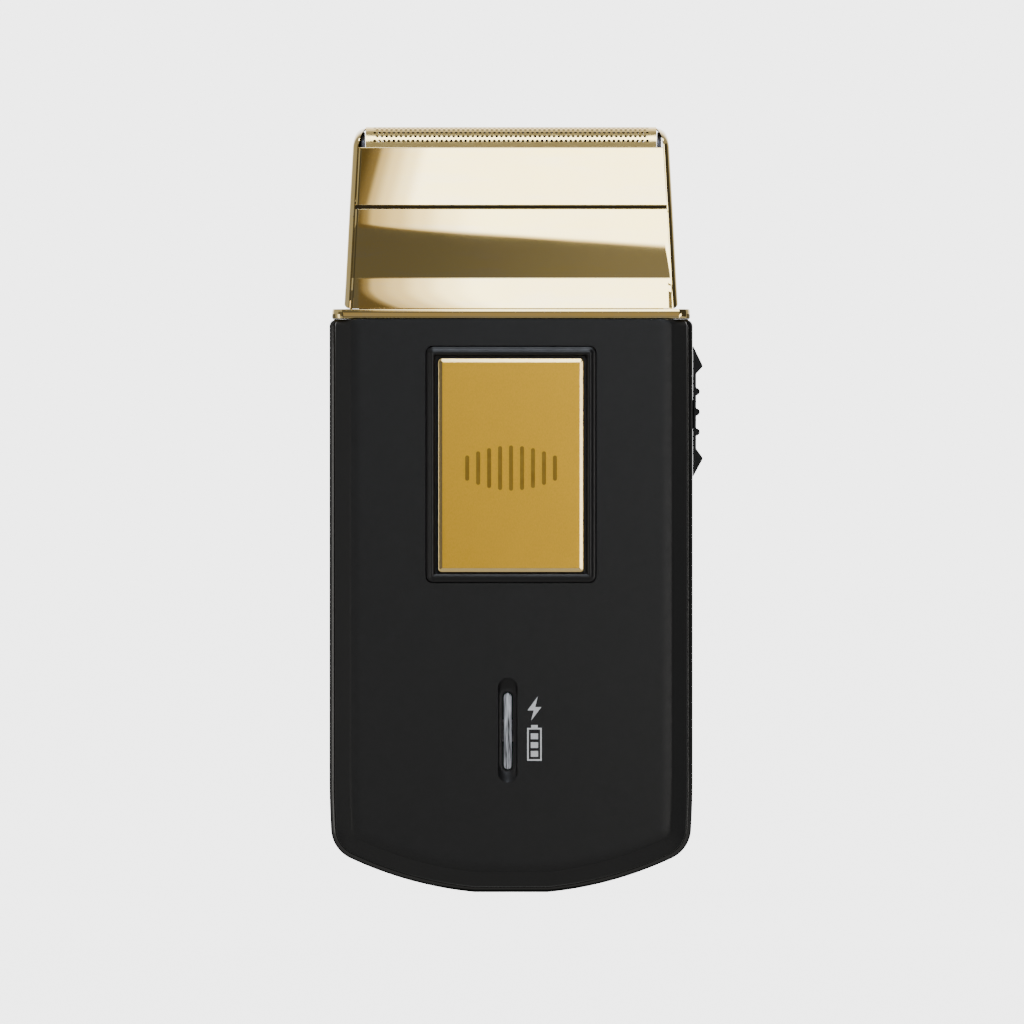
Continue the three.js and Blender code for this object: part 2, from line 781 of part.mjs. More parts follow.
function cutterSpring(x) {
  const pointsPerTurn = 6;
  const count = spring.turns * pointsPerTurn;
  const rise = spring.top - spring.bottom - 2 * spring.wire;
  const points = Array.from({ length: count + 1 }, (_, index) => {
    const angle = (2 * Math.PI * index) / pointsPerTurn;
    return [
      x + spring.radius * Math.cos(angle),
      spring.radius * Math.sin(angle),
      spring.bottom + spring.wire + (rise * index) / count,
    ];
  });
  return wire(points, spring.wire, spring.turns * 12);
}

function cutterCarrier() {
  const bar = block(around(carrier.halfWidth), around(carrier.halfDepth), [carrier.bottom, carrier.top]);
  const socketX = yoke.postX + 2 * slip + carrier.socketWall;
  const socketY = yoke.postY + 2 * slip + carrier.socketWall;
  const sleeve = block(around(socketX), around(socketY), [carrier.socketBottom, carrier.bottom + bite]);
  const bore = block(
    around(yoke.postX + 2 * slip),
    around(yoke.postY + 2 * slip),
    [carrier.socketBottom - 1, carrier.bottom + bite],
  );
  return cut(joined(bar, sleeve), bore);
}

function bladeOutline() {
  const foot = blades.spineTop - 0.4;
  const shape = new THREE.Shape();
  shape.moveTo(-blades.footHalfWidth, foot);
  shape.lineTo(blades.footHalfWidth, foot);
  shape.absarc(0, foilCentre, blades.radius, -0.1, Math.PI + 0.1, false);
  return shape;
}

function cutterBlock() {
  const spine = block(
    around(blades.halfLength),
    around(blades.spineHalfWidth),
    [blades.spineBottom, blades.spineTop],
  );
  const pitch = (2 * blades.halfLength - blades.thickness) / (blades.count - 1);
  const fins = Array.from({ length: blades.count }, (_, index) => {
    const start = -blades.halfLength + index * pitch;
    return plateYZ(bladeOutline(), [start, start + blades.thickness], 4);
  });
  return joined(spine, ...fins);
}

// ---------------------------------------------------------------- motor

// A round can with flat front and back.
function motorSection(shrink) {
  const radius = motor.halfWidth - shrink;
  const flat = motor.halfDepth - shrink;
  const angle = Math.asin(flat / radius);
  const shape = new THREE.Shape();
  shape.absarc(0, 0, radius, -angle, angle, false);
  shape.absarc(0, 0, radius, Math.PI - angle, Math.PI + angle, false);
  return shape;
}

function motorCan() {
  return cut(
    plateXY(motorSection(0), [motor.bottom, motor.top], 4),
    plateXY(motorSection(motor.wall), [motor.bottom - 1, motor.top - motor.wall], 4),
    barZ(motor.shaftRadius + gap, [motor.top - 2, motor.top + 1]),
  );
}

function motorEndCap() {
  return cut(
    plateXY(motorSection(0), [motor.capBottom, motor.bottom - 0.1], 4),
    barZ(motor.shaftRadius + gap, [motor.capBottom - 1, motor.bottom + 1]),
  );
}

function motorBush() {
  return cut(
    barZ(bush.radius, [motor.top + 0.05, motor.top + bush.height]),
    barZ(motor.shaftRadius + 0.1, [motor.top - 1, motor.top + bush.height + 1]),
  );
}

function motorMagnet(side) {
  const middle = side > 0 ? 0 : Math.PI;
  const shape = new THREE.Shape();
  shape.absarc(0, 0, magnet.outer, middle - magnet.spread, middle + magnet.spread, false);
  shape.absarc(0, 0, magnet.inner, middle + magnet.spread, middle - magnet.spread, true);
  return plateXY(shape, [magnet.bottom, magnet.top], 4);
}

function motorArmature() {
  const whole = [armature.bottom - 1, armature.top + 1];
  const slot = block(
    [armature.slotFrom, armature.radius + 1],
    around(armature.slotWidth / 2),
    whole,
  );
  const slots = Array.from(
    { length: armature.poles },
    (_, index) => slot.rotate([0, 0, (360 * index) / armature.poles]),
  );
  const core = barZ(armature.radius, [armature.bottom, armature.top], 0, 0, 24);
  return cut(core, barZ(motor.shaftRadius + 0.1, whole), ...slots);
}

function motorCommutator() {
  return cut(
    barZ(commutator.radius, [commutator.bottom, commutator.top]),
    barZ(motor.shaftRadius + 0.1, [commutator.bottom - 1, commutator.top + 1]),
  );
}

function eccentricCam() {
  const hub = barZ(cam.radius, [cam.bottom, cam.top], 0, 0, 20);
  const pin = barZ(cam.pinRadius, [cam.top - bite, cam.pinTop], 0, -cam.throw, 16);
  const bore = barZ(motor.shaftRadius + 0.1, [cam.bottom - 1, cam.boreTop]);
  return cut(joined(hub, pin), bore);
}

function motorTerminal(side) {
  return block(
    around(terminal.halfWidth, side * terminal.x),
    around(terminal.thickness / 2),
    [terminal.bottom, terminal.top],
  );
}

// ---------------------------------------------------------------- chassis, battery and electronics

function chassis() {
  const root = frame.front + bite;
  const plate = block(around(frame.halfWidth), [frame.front, frame.back], [frame.bottom, frame.top]);
  const motorRibs = frameRibs.motorZ.map(
    (z) => block(around(frameRibs.motorHalfWidth), [frame.ribFront, root], [z, z + frame.ribHeight]),
  );
  const cellRibs = frameRibs.cellZ.map(
    (z) => block([frameRibs.cellLeft, frameRibs.cellRight], [cell.y, root], [z, z + frame.ribHeight]),
  );
  const boardPosts = boardPost.places.map(
    ([x, z]) => barY(boardPost.radius, [board.back + 0.1, root], x, z),
  );
  const motorRoom = plateXY(motorSection(-gap), [motor.capBottom - beyond, motor.top + beyond], 4);
  const cellRoom = barZ(cell.radius + gap, [cell.bottom - beyond, cell.top + beyond], cell.x, cell.y, 24);
  return cut(joined(plate, ...motorRibs, ...cellRibs, ...boardPosts), motorRoom, cellRoom);
}

function batteryCell() {
  return joined(
    barZ(cell.radius, [cell.bottom, cell.top], cell.x, cell.y, 24),
    barZ(cell.nubRadius, [cell.top - bite, cell.nubTop], cell.x, cell.y, 16),
  );
}

function cellTabPlate(right, bottom) {
  const thickness = [bottom, bottom + cellTab.thickness];
  return block([cellTab.left, right], around(cellTab.halfDepth, cell.y), thickness);
}

function circuitBoard() {
  const outline = polygon([
    [board.left, board.bottom],
    [board.right, board.bottom],
    [board.right, boardArm.bottom],
    [boardArm.right, boardArm.bottom],
    [boardArm.right, boardArm.top],
    [board.armLeft, boardArm.top],
    [board.armLeft, board.top],
    [board.left, board.top],
  ]);
  return plateXZ(outline, [board.front, board.back]);
}

// A piece mounted on the front of the board.
function onBoard(piece, x, z) {
  return block(x, [piece.front, board.front - 0.1], z);
}

// From a motor terminal down to the board's back face.
function motorLead(side, endX) {
  return wire([
    [side * terminal.x, -0.8, 43.6],
    [side * (terminal.x - 0.1), board.back + 0.6, 40],
    [endX, board.back + 0.6, 35],
  ], leadRadius, 6);
}

function socketShell() {
  return cut(
    block(around(socket.halfWidth), [socket.front, socket.back], [socket.bottom, socket.top]),
    block(
      around(socket.halfWidth - socket.wall),
      [socket.front + socket.wall, socket.back - socket.wall],
      [socket.bottom - 1, socket.top - socket.floor],
    ),
  );
}

function slideSwitchBody() {
  return cut(
    block(
      [switchBox.left, switchBox.right],
      [board.back + 0.1, switchBox.back],
      [switchBox.bottom, switchBox.top],
    ),
    block(
      [switchMouth.left, switchBox.right + 1],
      [switchMouth.front, switchMouth.back],
      [switchMouth.bottom, switchMouth.top],
    ),
  );
}

// ---------------------------------------------------------------- switch

function switchButton() {
  const quarter = Math.PI / 2;
  const shape = new THREE.Shape();
  shape.moveTo(button.base, button.bottom);
  shape.lineTo(button.peak, button.lowerPeak);
  shape.lineTo(button.face, button.lowerFoot);
  button.ribs.forEach((z) => shape.absarc(button.face, z, button.ribRadius, -quarter, quarter, false));
  shape.lineTo(button.face, button.upperFoot);
  shape.lineTo(button.peak, button.upperPeak);
  shape.lineTo(button.base, button.top);
  const cap = plateXZ(shape, around(button.halfDepth));
  const shank = block([stem.inner, button.base + bite], around(stem.halfDepth), [stem.bottom, stem.top]);
  return joined(cap, shank);
}

// ---------------------------------------------------------------- assembly

const assembly = new THREE.Group();
assembly.position.x = centring;

function addGeometry(name, look, geometry) {
  const mesh = new THREE.Mesh(geometry, new THREE.MeshStandardMaterial(look));
  mesh.name = name;
  assembly.add(mesh);
}

const add = (name, look, solid) => addGeometry(name, look, geometryOf(solid));
const sides = [['left', -1], ['right', 1]];

add('rear_shell', glossBlack, rearShell());
add('front_cover', softBlack, frontCover());
add('collar_plate', mirrorGold, collarPlate());
add('badge_bezel', glossBlack, badgeBezel());
add('badge_plate', satinGold, badgePlate());
add('light_pipe', clearLens, lightPipe());
screwPlaces.forEach(([x, z]) => {
  const level = z === screw.lowZ ? 'lower' : 'upper';
  const side = x < 0 ? 'left' : 'right';
  add(`case_screw_${level}_${side}`, darkSteel, caseScrew(x, z));
});

add('head_frame', mirrorGold, headFrame());
add('foil_sheet', mirrorGold, foilSheet());
add('foil_cradle', innerBlack, foilCradle());
add('head_base_ring', innerBlack, headBaseRing());
sides.forEach(([name, side]) => {
  add(`head_end_plate_${name}`, mirrorGold, headEndPlate(side));
  add(`foil_clip_${name}`, steel, foilClip(side));
  add(`latch_clip_${name}`, steel, latchClip(side));
  addGeometry(`cutter_spring_${name}`, steel, cutterSpring(side * spring.x));
  add(`motor_magnet_${name}`, magnetGrey, motorMagnet(side));
  add(`motor_terminal_${name}`, copper, motorTerminal(side));
});

add('top_deck', innerBlack, topDeck());
add('yoke_retainer', innerBlack, yokeRetainer());
add('drive_yoke', nylonWhite, driveYoke());
add('hair_guard', rubberGrey, hairGuard());
add('cutter_carrier', innerBlack, cutterCarrier());
add('cutter_block', darkSteel, cutterBlock());

add('motor_can', steel, motorCan());
add('motor_end_cap', nylonWhite, motorEndCap());
add('motor_bush', brassTone, motorBush());
add('motor_shaft', steel, barZ(motor.shaftRadius, [motor.shaftBottom, cam.boreTop - 0.2]));
add('motor_armature', copper, motorArmature());
add('motor_commutator', copper, motorCommutator());
add('eccentric_cam', nylonWhite, eccentricCam());

add('chassis', innerBlack, chassis());
add('battery_cell', cellWrap, batteryCell());
add('cell_tab_positive', steel, cellTabPlate(cellTab.positiveRight, cell.nubTop + 0.1));
add('cell_tab_negative', steel, cellTabPlate(cellTab.negativeRight, cell.bottom - cellTab.thickness - 0.2));
add('circuit_board', boardGreen, circuitBoard());
add('status_led', nylonWhite, onBoard(led, around(led.halfWidth, status.x), around(led.halfHeight, lens.z)));
add('control_chip', innerBlack, onBoard(chip, around(chip.halfSide, chip.x), around(chip.halfSide, chip.z)));
add('capacitor', innerBlack, barZ(
  capacitor.radius,
  [capacitor.bottom, capacitor.top],
  capacitor.x,
  board.front - capacitor.radius - 0.2,
));
add('charge_socket_shell', steel, socketShell());
add('charge_socket_tongue', innerBlack, block(
  around(tongue.halfWidth),
  around(tongue.halfDepth, (socket.front + socket.back) / 2),
  [tongue.bottom, tongue.top],
));
add('slide_switch_body', innerBlack, slideSwitchBody());

addGeometry('battery_lead', leadRed, wire([
  [-13, cell.y, 59.9],
  [-11.6, -4, 60.6],
  [-10.6, -7.6, 54],
  [-8.4, -8, 46],
  [-6, -5, 42.4],
  [-6, -3.2, 41],
], leadRadius));
addGeometry('motor_lead_positive', leadRed, motorLead(-1, -4));
addGeometry('motor_lead_negative', leadBlack, motorLead(1, 7.4));

add('switch_button', softBlack, switchButton());
add('switch_carrier', innerBlack, block(
  [slider.left, stem.inner - 0.1],
  around(slider.halfDepth),
  [slider.bottom, slider.top],
));
add('switch_knob', nylonWhite, block(
  [knob.left, knob.right],
  [knob.front, knob.back],
  [knob.bottom, knob.top],
));

export default assembly;
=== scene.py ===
import json
import math

import bmesh
import bpy
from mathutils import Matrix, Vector


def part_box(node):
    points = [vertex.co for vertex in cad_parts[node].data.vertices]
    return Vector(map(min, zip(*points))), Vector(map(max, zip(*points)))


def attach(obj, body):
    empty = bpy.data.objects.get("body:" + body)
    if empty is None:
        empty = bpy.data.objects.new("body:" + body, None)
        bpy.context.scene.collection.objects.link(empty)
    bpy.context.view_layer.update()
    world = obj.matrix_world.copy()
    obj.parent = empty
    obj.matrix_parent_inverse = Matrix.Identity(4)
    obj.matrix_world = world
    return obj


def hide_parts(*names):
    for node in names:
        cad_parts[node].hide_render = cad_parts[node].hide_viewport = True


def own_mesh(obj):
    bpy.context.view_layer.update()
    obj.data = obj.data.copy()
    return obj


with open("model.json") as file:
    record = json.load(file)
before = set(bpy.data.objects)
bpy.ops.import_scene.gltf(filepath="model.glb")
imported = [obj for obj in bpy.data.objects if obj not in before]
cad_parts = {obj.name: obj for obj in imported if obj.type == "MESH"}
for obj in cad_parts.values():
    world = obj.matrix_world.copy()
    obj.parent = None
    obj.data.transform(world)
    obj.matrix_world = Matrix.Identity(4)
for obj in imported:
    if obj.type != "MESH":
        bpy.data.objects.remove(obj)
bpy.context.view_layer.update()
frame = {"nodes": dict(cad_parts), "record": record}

# Lengths in this script are millimetres; MM turns them into Blender's metres.
MM = 0.001
QUARTER = math.pi / 2


# ---------------- places taken from the frame

def span(node):
    """(low, high) of a CAD node along X, Y and Z, in millimetres."""
    low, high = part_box(node)
    return [(low[i] / MM, high[i] / MM) for i in range(3)]


def middle(pair):
    return (pair[0] + pair[1]) / 2


def half(pair):
    return (pair[1] - pair[0]) / 2


shell = span("rear_shell")
cover = span("front_cover")
collar = span("collar_plate")
head_frame = span("head_frame")
plate_right = span("head_end_plate_right")
foil_box = span("foil_sheet")
bezel_box = span("badge_bezel")
badge_box = span("badge_plate")
lens_box = span("light_pipe")
button_box = span("switch_button")
socket_box = span("charge_socket_shell")

MID = middle(shell[0])                 # the body's middle plane across X
HALF_WIDTH = half(shell[0])
BODY_TOP = shell[2][1]
PARTING = shell[1][0]                  # front rim of the rear shell
BACK = shell[1][1]
COVER_STEP = HALF_WIDTH - half(cover[0])
COVER_BACK = PARTING - 0.3

# The body's outline: sides, a slow draw-in, corner rounds and the curved base with its flat land.
SIDE_ARC_RADIUS = 130
SIDE_ARC_START = 16
CORNER_RADIUS = 4.6
BASE_RADIUS = 52
LAND_HALF_WIDTH = 5
BACK_ROUND = 4.2
TOP_CORNER = 0.9
WALL = 1.65


# ---------------- mesh helpers

def arc(cx, cy, radius, start, end, steps):
    """Points on an arc, both ends included."""
    angles = [start + (end - start) * i / steps for i in range(steps + 1)]
    return [(cx + radius * math.cos(a), cy + radius * math.sin(a)) for a in angles]


def new_object(name, vertices, faces, smooth_angle=35):
    """A mesh object from points in millimetres, shaded smooth except at sharp edges."""
    mesh = bpy.data.meshes.new(name)
    mesh.from_pydata([Vector(v) * MM for v in vertices], [], faces)
    work = bmesh.new()
    work.from_mesh(mesh)
    bmesh.ops.remove_doubles(work, verts=work.verts, dist=1e-7)
    bmesh.ops.recalc_face_normals(work, faces=work.faces)
    work.to_mesh(mesh)
    work.free()
    obj = bpy.data.objects.new(name, mesh)
    bpy.context.collection.objects.link(obj)
    shade(obj, smooth_angle)
    return obj


def shade(obj, smooth_angle=35):
    mesh = obj.data
    mesh.polygons.foreach_set("use_smooth", [True] * len(mesh.polygons))
    mesh.set_sharp_from_angle(angle=math.radians(smooth_angle))
    mesh.update()


def flat_faces_stay_flat(obj):
    """Normals that follow the large faces, so a small round doesn't bend the flat beside it."""
    modifier = obj.modifiers.new("face_normals", "WEIGHTED_NORMAL")
    modifier.mode = "FACE_AREA"
    modifier.weight = 50
    modifier.keep_sharp = True


def loft(name, loops, ring=False, smooth_angle=35):
    """A skin over closed loops of equal size. A ring joins the last loop back to the first."""
    if ring:
        loops = loops + [loops[0]]
    size = len(loops[0])
    last = size * (len(loops) - 1)
    faces = []
    for start in range(0, last, size):
        for i in range(size):
            a = start + i
            b = start + (i + 1) % size
            faces.append((a, b, b + size, a + size))
    if not ring:
        faces.append(tuple(range(size)))
        faces.append(tuple(last + i for i in reversed(range(size))))
    return new_object(name, [point for loop in loops for point in loop], faces, smooth_angle)


def box_object(name, x, y, z):
    corners = [(a, b, c) for a in x for b in y for c in z]
    faces = [(0, 1, 3, 2), (4, 6, 7, 5), (0, 4, 5, 1), (2, 3, 7, 6), (0, 2, 6, 4), (1, 5, 7, 3)]
    return new_object(name, corners, faces)


def apply_modifiers(obj):
    graph = bpy.context.evaluated_depsgraph_get()
    graph.update()
    mesh = bpy.data.meshes.new_from_object(obj.evaluated_get(graph))
    obj.modifiers.clear()
    old = obj.data
    obj.data = mesh
    bpy.data.meshes.remove(old)


def combine(obj, operation, tools):
    """Adds the tools to obj or cuts them out of it, and removes them."""
    for tool in tools:
        modifier = obj.modifiers.new("combine", "BOOLEAN")
        modifier.operation = operation
        modifier.solver = "EXACT"
        modifier.use_self = True
        modifier.object = tool
    apply_modifiers(obj)
    for tool in tools:
        bpy.data.objects.remove(tool, do_unlink=True)
    shade(obj)


def soften(obj, width, segments=3, angle=30):
    """A small round on every sharp edge, as a moulded or machined piece has."""
    modifier = obj.modifiers.new("soften", "BEVEL")
    modifier.width = width * MM
    modifier.segments = segments
    modifier.limit_method = "ANGLE"
    modifier.angle_limit = math.radians(angle)
    modifier.harden_normals = True
    modifier.use_clamp_overlap = True


def joined(name, *parts):
    """One object from several meshes that lie side by side."""
    vertices, faces = [], []
    for part in parts:
        start = len(vertices)
        vertices += [tuple(v.co / MM) for v in part.data.vertices]
        faces += [tuple(start + i for i in p.vertices) for p in part.data.polygons]
        bpy.data.objects.remove(part, do_unlink=True)
    return new_object(name, vertices, faces)


# ---------------- outlines

def circles_meet(a, radius_a, b, radius_b):
    """The meeting point of two circles that lies to the right of the line from a to b."""
    dx, dy = b[0] - a[0], b[1] - a[1]
    distance = math.hypot(dx, dy)
    along = (radius_a ** 2 - radius_b ** 2 + distance ** 2) / (2 * distance)
    across = math.sqrt(radius_a ** 2 - along ** 2)
    ux, uy = dx / distance, dy / distance
    return a[0] + ux * along + uy * across, a[1] + uy * along - ux * across


LAND_SAG = BASE_RADIUS - math.sqrt(BASE_RADIUS ** 2 - LAND_HALF_WIDTH ** 2)
BASE_CENTRE = (0, BASE_RADIUS - LAND_SAG)
SIDE_CENTRE = (HALF_WIDTH - SIDE_ARC_RADIUS, SIDE_ARC_START)
CORNER_CENTRE = circles_meet(
    SIDE_CENTRE, SIDE_ARC_RADIUS - CORNER_RADIUS, BASE_CENTRE, BASE_RADIUS - CORNER_RADIUS)


def body_outline(inset):
    """The front view of the body as (x, z) points, drawn inward by inset."""
    width = HALF_WIDTH - inset
    side = math.atan2(CORNER_CENTRE[1] - SIDE_CENTRE[1], CORNER_CENTRE[0] - SIDE_CENTRE[0])
    base = math.atan2(CORNER_CENTRE[1] - BASE_CENTRE[1], CORNER_CENTRE[0] - BASE_CENTRE[0])
    land = math.asin(LAND_HALF_WIDTH / BASE_RADIUS)
    side_top = BODY_TOP - TOP_CORNER
    right = arc(0, BASE_CENTRE[1], BASE_RADIUS - inset, land - QUARTER, base, 16)
    right += arc(*CORNER_CENTRE, CORNER_RADIUS - inset, base, side, 12)
    right += arc(*SIDE_CENTRE, SIDE_ARC_RADIUS - inset, side, 0, 10)
    right += [(width, side_top - (side_top - SIDE_ARC_START) * i / 4) for i in (3, 2, 1)]
    right += arc(width - TOP_CORNER, side_top, TOP_CORNER, 0, QUARTER, 6)
    points = right + [(-x, z) for x, z in reversed(right)]
    return [(MID + x, z) for x, z in points]


def rounded_rectangle(u, v, radius, steps=6, far_radius=None):
    """A rectangle with round corners. The two at its high V side can have a radius of their own."""
    far = far_radius or radius
    points = arc(u[1] - radius, v[0] + radius, radius, -QUARTER, 0, steps)
    points += arc(u[1] - far, v[1] - far, far, 0, QUARTER, steps)
    points += arc(u[0] + far, v[1] - far, far, QUARTER, 2 * QUARTER, steps)
    points += arc(u[0] + radius, v[0] + radius, radius, 2 * QUARTER, 3 * QUARTER, steps)
    return points


def rectangle(x, z):
    return [(x[0], z[0]), (x[1], z[0]), (x[1], z[1]), (x[0], z[1])]


def circle(place, radius, steps=40):
    return arc(*place, radius, 0, 2 * math.pi, steps)[:-1]


def stadium(x, z, half_width, half_height, steps=10):
    """An upright slot shape: straight sides and round ends."""
    run = half_height - half_width
    points = arc(x, z + run, half_width, 0, math.pi, steps)
    points += arc(x, z - run, half_width, math.pi, 2 * math.pi, steps)
    return points


def grown(pair, amount):
    return pair[0] - amount, pair[1] + amount


def front_loop(points, y):
    return [(x, y, z) for x, z in points]


def level_loop(points, z):
    return [(x, y, z) for x, y in points]


def prism(name, points, y):
    """A front outline carried straight back from the first depth to the second."""
    return loft(name, [front_loop(points, depth) for depth in y])


def behind(start, levels):
    """(inset, y) pairs from (inset, distance behind start) pairs."""
    return [(inset, start + distance) for inset, distance in levels]


def fillet(start, end, steps):
    """Quarter-round points (a, b) that leave start along a and reach end along b."""
    turns = [QUARTER * i / steps for i in range(steps + 1)]
    run, fall = end[0] - start[0], start[1] - end[1]
    return [(start[0] + run * math.sin(t), end[1] + fall * math.cos(t)) for t in turns]


# ---------------- casing

MOUTH_DROP = 6.0                       # how far the opening at the top reaches down
SLOT_X = 22, 27                        # the switch's slot in the right side, from the middle plane
SLOT_HALF_DEPTH = 1.35
SLOT_Z = 63.35, 70.65
SCREW_BORE = 1.3
SCREW_CLEARANCE = 0.2


def mouth(half_width, y):
    """The opening at the top that the deck sits in."""
    x = MID - half_width, MID + half_width
    return box_object("mouth", x, y, (BODY_TOP - MOUTH_DROP, BODY_TOP + 1))


def make_rear_shell():
    """The back half: round back edges, a chamfer round the front rim, and an open front and top."""
    rim = [(0.66, 0.3), (0.65, 0.06), (0.62, 0), (0.56, 0.01), (0.37, 0.1), (0.22, 0.21), (0.1, 0.34)]
    rim += [(0.02, 0.52), (0, 1)]
    outer = behind(PARTING, rim)
    outer += [(inset, y) for y, inset in fillet((BACK - BACK_ROUND, 0), (BACK, BACK_ROUND), 12)]
    inner_back = BACK - WALL
    inner_start = inner_back - (BACK_ROUND - WALL)
    inner = [(WALL, PARTING + 0.3)]
    inner += [(inset, y) for y, inset in fillet((inner_start, WALL), (inner_back, BACK_ROUND), 6)]
    levels = list(reversed(outer)) + inner
    obj = loft("rear_shell_skin", [front_loop(body_outline(inset), y) for inset, y in levels])
    slot = box_object(
        "slot", (MID + SLOT_X[0], MID + SLOT_X[1]), (-SLOT_HALF_DEPTH, SLOT_HALF_DEPTH), SLOT_Z)
    tools = [mouth(22.3, (PARTING - 1, 9.2)), slot]
    for node in frame["nodes"]:
        if node.startswith("case_screw"):
            tools += screw_hole_tools(span(node))
    add_socket_well(obj)
    combine(obj, "DIFFERENCE", tools)
    return obj


def screw_hole_tools(screw):
    """A bore for the shank, a wider one for the head and a small countersink at the back."""
    place = (middle(screw[0]), middle(screw[2]))
    head_radius = half(screw[0]) + SCREW_CLEARANCE
    shank = prism("shank", circle(place, SCREW_BORE), (BACK - 2 * WALL, BACK + 1))
    head = prism("head", circle(place, head_radius), (BACK - 1.0, BACK + 1))
    sink = [(head_radius, BACK - 0.2), (head_radius + 0.45, BACK + 0.25)]
    return [shank, head, loft("countersink", [front_loop(circle(place, r), y) for r, y in sink])]


RECESS_HALF_WIDTH = 5.4
RECESS_HALF_DEPTH = 3.2


def recess_outline(grow, radius):
    """The plan of the recess for the charging plug, made larger by grow."""
    width = RECESS_HALF_WIDTH + grow
    depth = RECESS_HALF_DEPTH + grow
    return rounded_rectangle((MID - width, MID + width), (-depth, depth), radius)


def add_socket_well(obj):
    """The recess in the base that the charging plug's nose goes into, with a window for the socket."""
    flare, straight = recess_outline(0.5, 1.4), recess_outline(0, 0.9)
    levels = [(flare, -1), (flare, 0.02), (straight, 0.5), (straight, 5.4)]
    recess = loft("recess", [level_loop(points, z) for points, z in levels])
    window = box_object(
        "window", grown(socket_box[0], 0.15), grown(socket_box[1], 0.15), (5, socket_box[2][1] + 1))
    block = recess_outline(1.3, 1)
    combine(obj, "UNION", [loft("well", [level_loop(block, z) for z in (1.3, 7)])])
    combine(obj, "DIFFERENCE", [recess, window])


def make_front_cover():
    """The soft black front: a flat face with a slow roll at its edge, a crease and a bevelled margin."""
    front = cover[1][0]
    crease = COVER_STEP + 2.1
    roll = [(4.45, 0), (4.1, 0.006), (3.8, 0.024), (3.5, 0.055), (3.2, 0.1), (crease + 0.03, 0.15)]
    margin = [(crease - 0.03, 0.18), (crease - 0.9, 1.08), (COVER_STEP + 0.14, 2.16)]
    margin += [(COVER_STEP + 0.05, 2.28), (COVER_STEP, 2.5)]
    side = [(COVER_STEP, -0.3), (COVER_STEP + 0.08, -0.08), (COVER_STEP + 0.25, 0), (2.6, 0), (2.7, -0.1)]
    inside = [(2.7, 1.75), (2.8, 1.6)]
    profile = behind(front, roll + margin) + behind(COVER_BACK, side) + behind(front, inside)
    obj = loft("front_cover_skin", [front_loop(body_outline(inset), y) for inset, y in profile])
    pocket_outline = rounded_rectangle(grown(bezel_box[0], 0.12), grown(bezel_box[2], 0.12), 1.0)
    pocket = prism("pocket", pocket_outline, (front - 1, front + 0.95))
    lens_outline = stadium(
        middle(lens_box[0]), middle(lens_box[2]), half(lens_box[0]) + 0.15, half(lens_box[2]) + 0.15)
    lens_slot = prism("lens_slot", lens_outline, (front - 1, front + 3))
    tools = [mouth(22.2, (front + 1.6, PARTING)), pocket, status_recess_tool(front), lens_slot]
    combine(obj, "DIFFERENCE", tools)
    return obj


STATUS_HALF_WIDTH = 1.27
STATUS_HALF_HEIGHT = 7.1


def status_recess_tool(front):
    """A stadium-shaped dish whose floor slopes up at both ends."""
    x = middle(lens_box[0])
    z = middle(lens_box[2]) + 0.15
    levels = [(0.12, -1.0), (0.1, -0.02), (0.0, 0.1), (0.0, 0.5), (-0.12, 0.78), (-0.3, 0.85)]
    loops = []
    for grow, depth in levels:
        shorten = 0 if depth < 0.2 else 1.6 * (depth - 0.1)
        points = stadium(x, z, STATUS_HALF_WIDTH + grow, STATUS_HALF_HEIGHT + grow - shorten)
        loops.append(front_loop(points, front + depth))
    return loft("status_recess", loops)


def make_collar():
    """The gold plate between body and head, with rolled edges and an opening for the turret.

    Its corners have small rounds in front and large ones behind."""
    z0, z1 = collar[2]
    edge = 0.12
    opening = rounded_rectangle((MID - 14.3, MID + 14.3), (-6.9, 6.9), 0.5, 10)
    levels = [(edge, z0), (edge * 0.3, z0 + edge * 0.3), (0, z0 + edge)]
    levels += [(0, z1 - 0.36), (0.05, z1 - 0.1), (0.08, z1 - 0.04), (0.16, z1)]
    loops = []
    for inset, z in levels:
        x, y = grown(collar[0], -inset), grown(collar[1], -inset)
        loops.append(level_loop(rounded_rectangle(x, y, 1.6 - inset, 10, 4.0 - inset), z))
    loops += [level_loop(opening, z1), level_loop(opening, z0)]
    return loft("collar_skin", loops, ring=True)


# ---------------- badge

SMALLEST_ROUND = 0.12
BADGE_RIM = 0.6


def frame_loops(box, levels, radius):
    """Loops that follow a box's rounded front outline; levels are (inset, y)."""
    loops = []
    for inset, y in levels:
        x, z = grown(box[0], -inset), grown(box[2], -inset)
        loops.append(front_loop(rounded_rectangle(x, z, max(radius - inset, SMALLEST_ROUND)), y))
    return loops


def make_bezel():
    """A black bead round the badge: a low outer step, a raised round bead and a drop to the badge."""
    front, back = bezel_box[1]
    bead = [(0.0, 0.42), (0.06, 0.32), (0.2, 0.27), (0.32, 0.26), (0.42, 0.2), (0.52, 0.07), (0.66, 0.01)]
    bead += [(0.8, 0), (0.94, 0.02), (1.08, 0.1), (1.18, 0.24), (1.24, 0.45)]
    levels = [(0.0, back)] + behind(front, bead) + [(1.25, back)]
    return loft("badge_bezel_skin", frame_loops(bezel_box, levels, 0.95), ring=True)


def make_badge():
    """The satin middle of the badge plate."""
    front, back = badge_box[1]
    levels = [(BADGE_RIM, back), (BADGE_RIM, front + 0.01), (BADGE_RIM + 0.15, front)]
    return loft("badge_plate_skin", frame_loops(badge_box, levels, SMALLEST_ROUND))


def make_badge_rim():
    """The polished edge that slopes away round the satin middle."""
    front, back = badge_box[1]
    edge = [(0.0, 0.3), (0.03, 0.18), (0.1, 0.11), (0.24, 0.08), (0.42, 0.045), (BADGE_RIM, 0.012)]
    levels = [(0.0, back)] + behind(front, edge) + [(BADGE_RIM, back)]
    return loft("badge_rim", frame_loops(badge_box, levels, 0.55), ring=True)


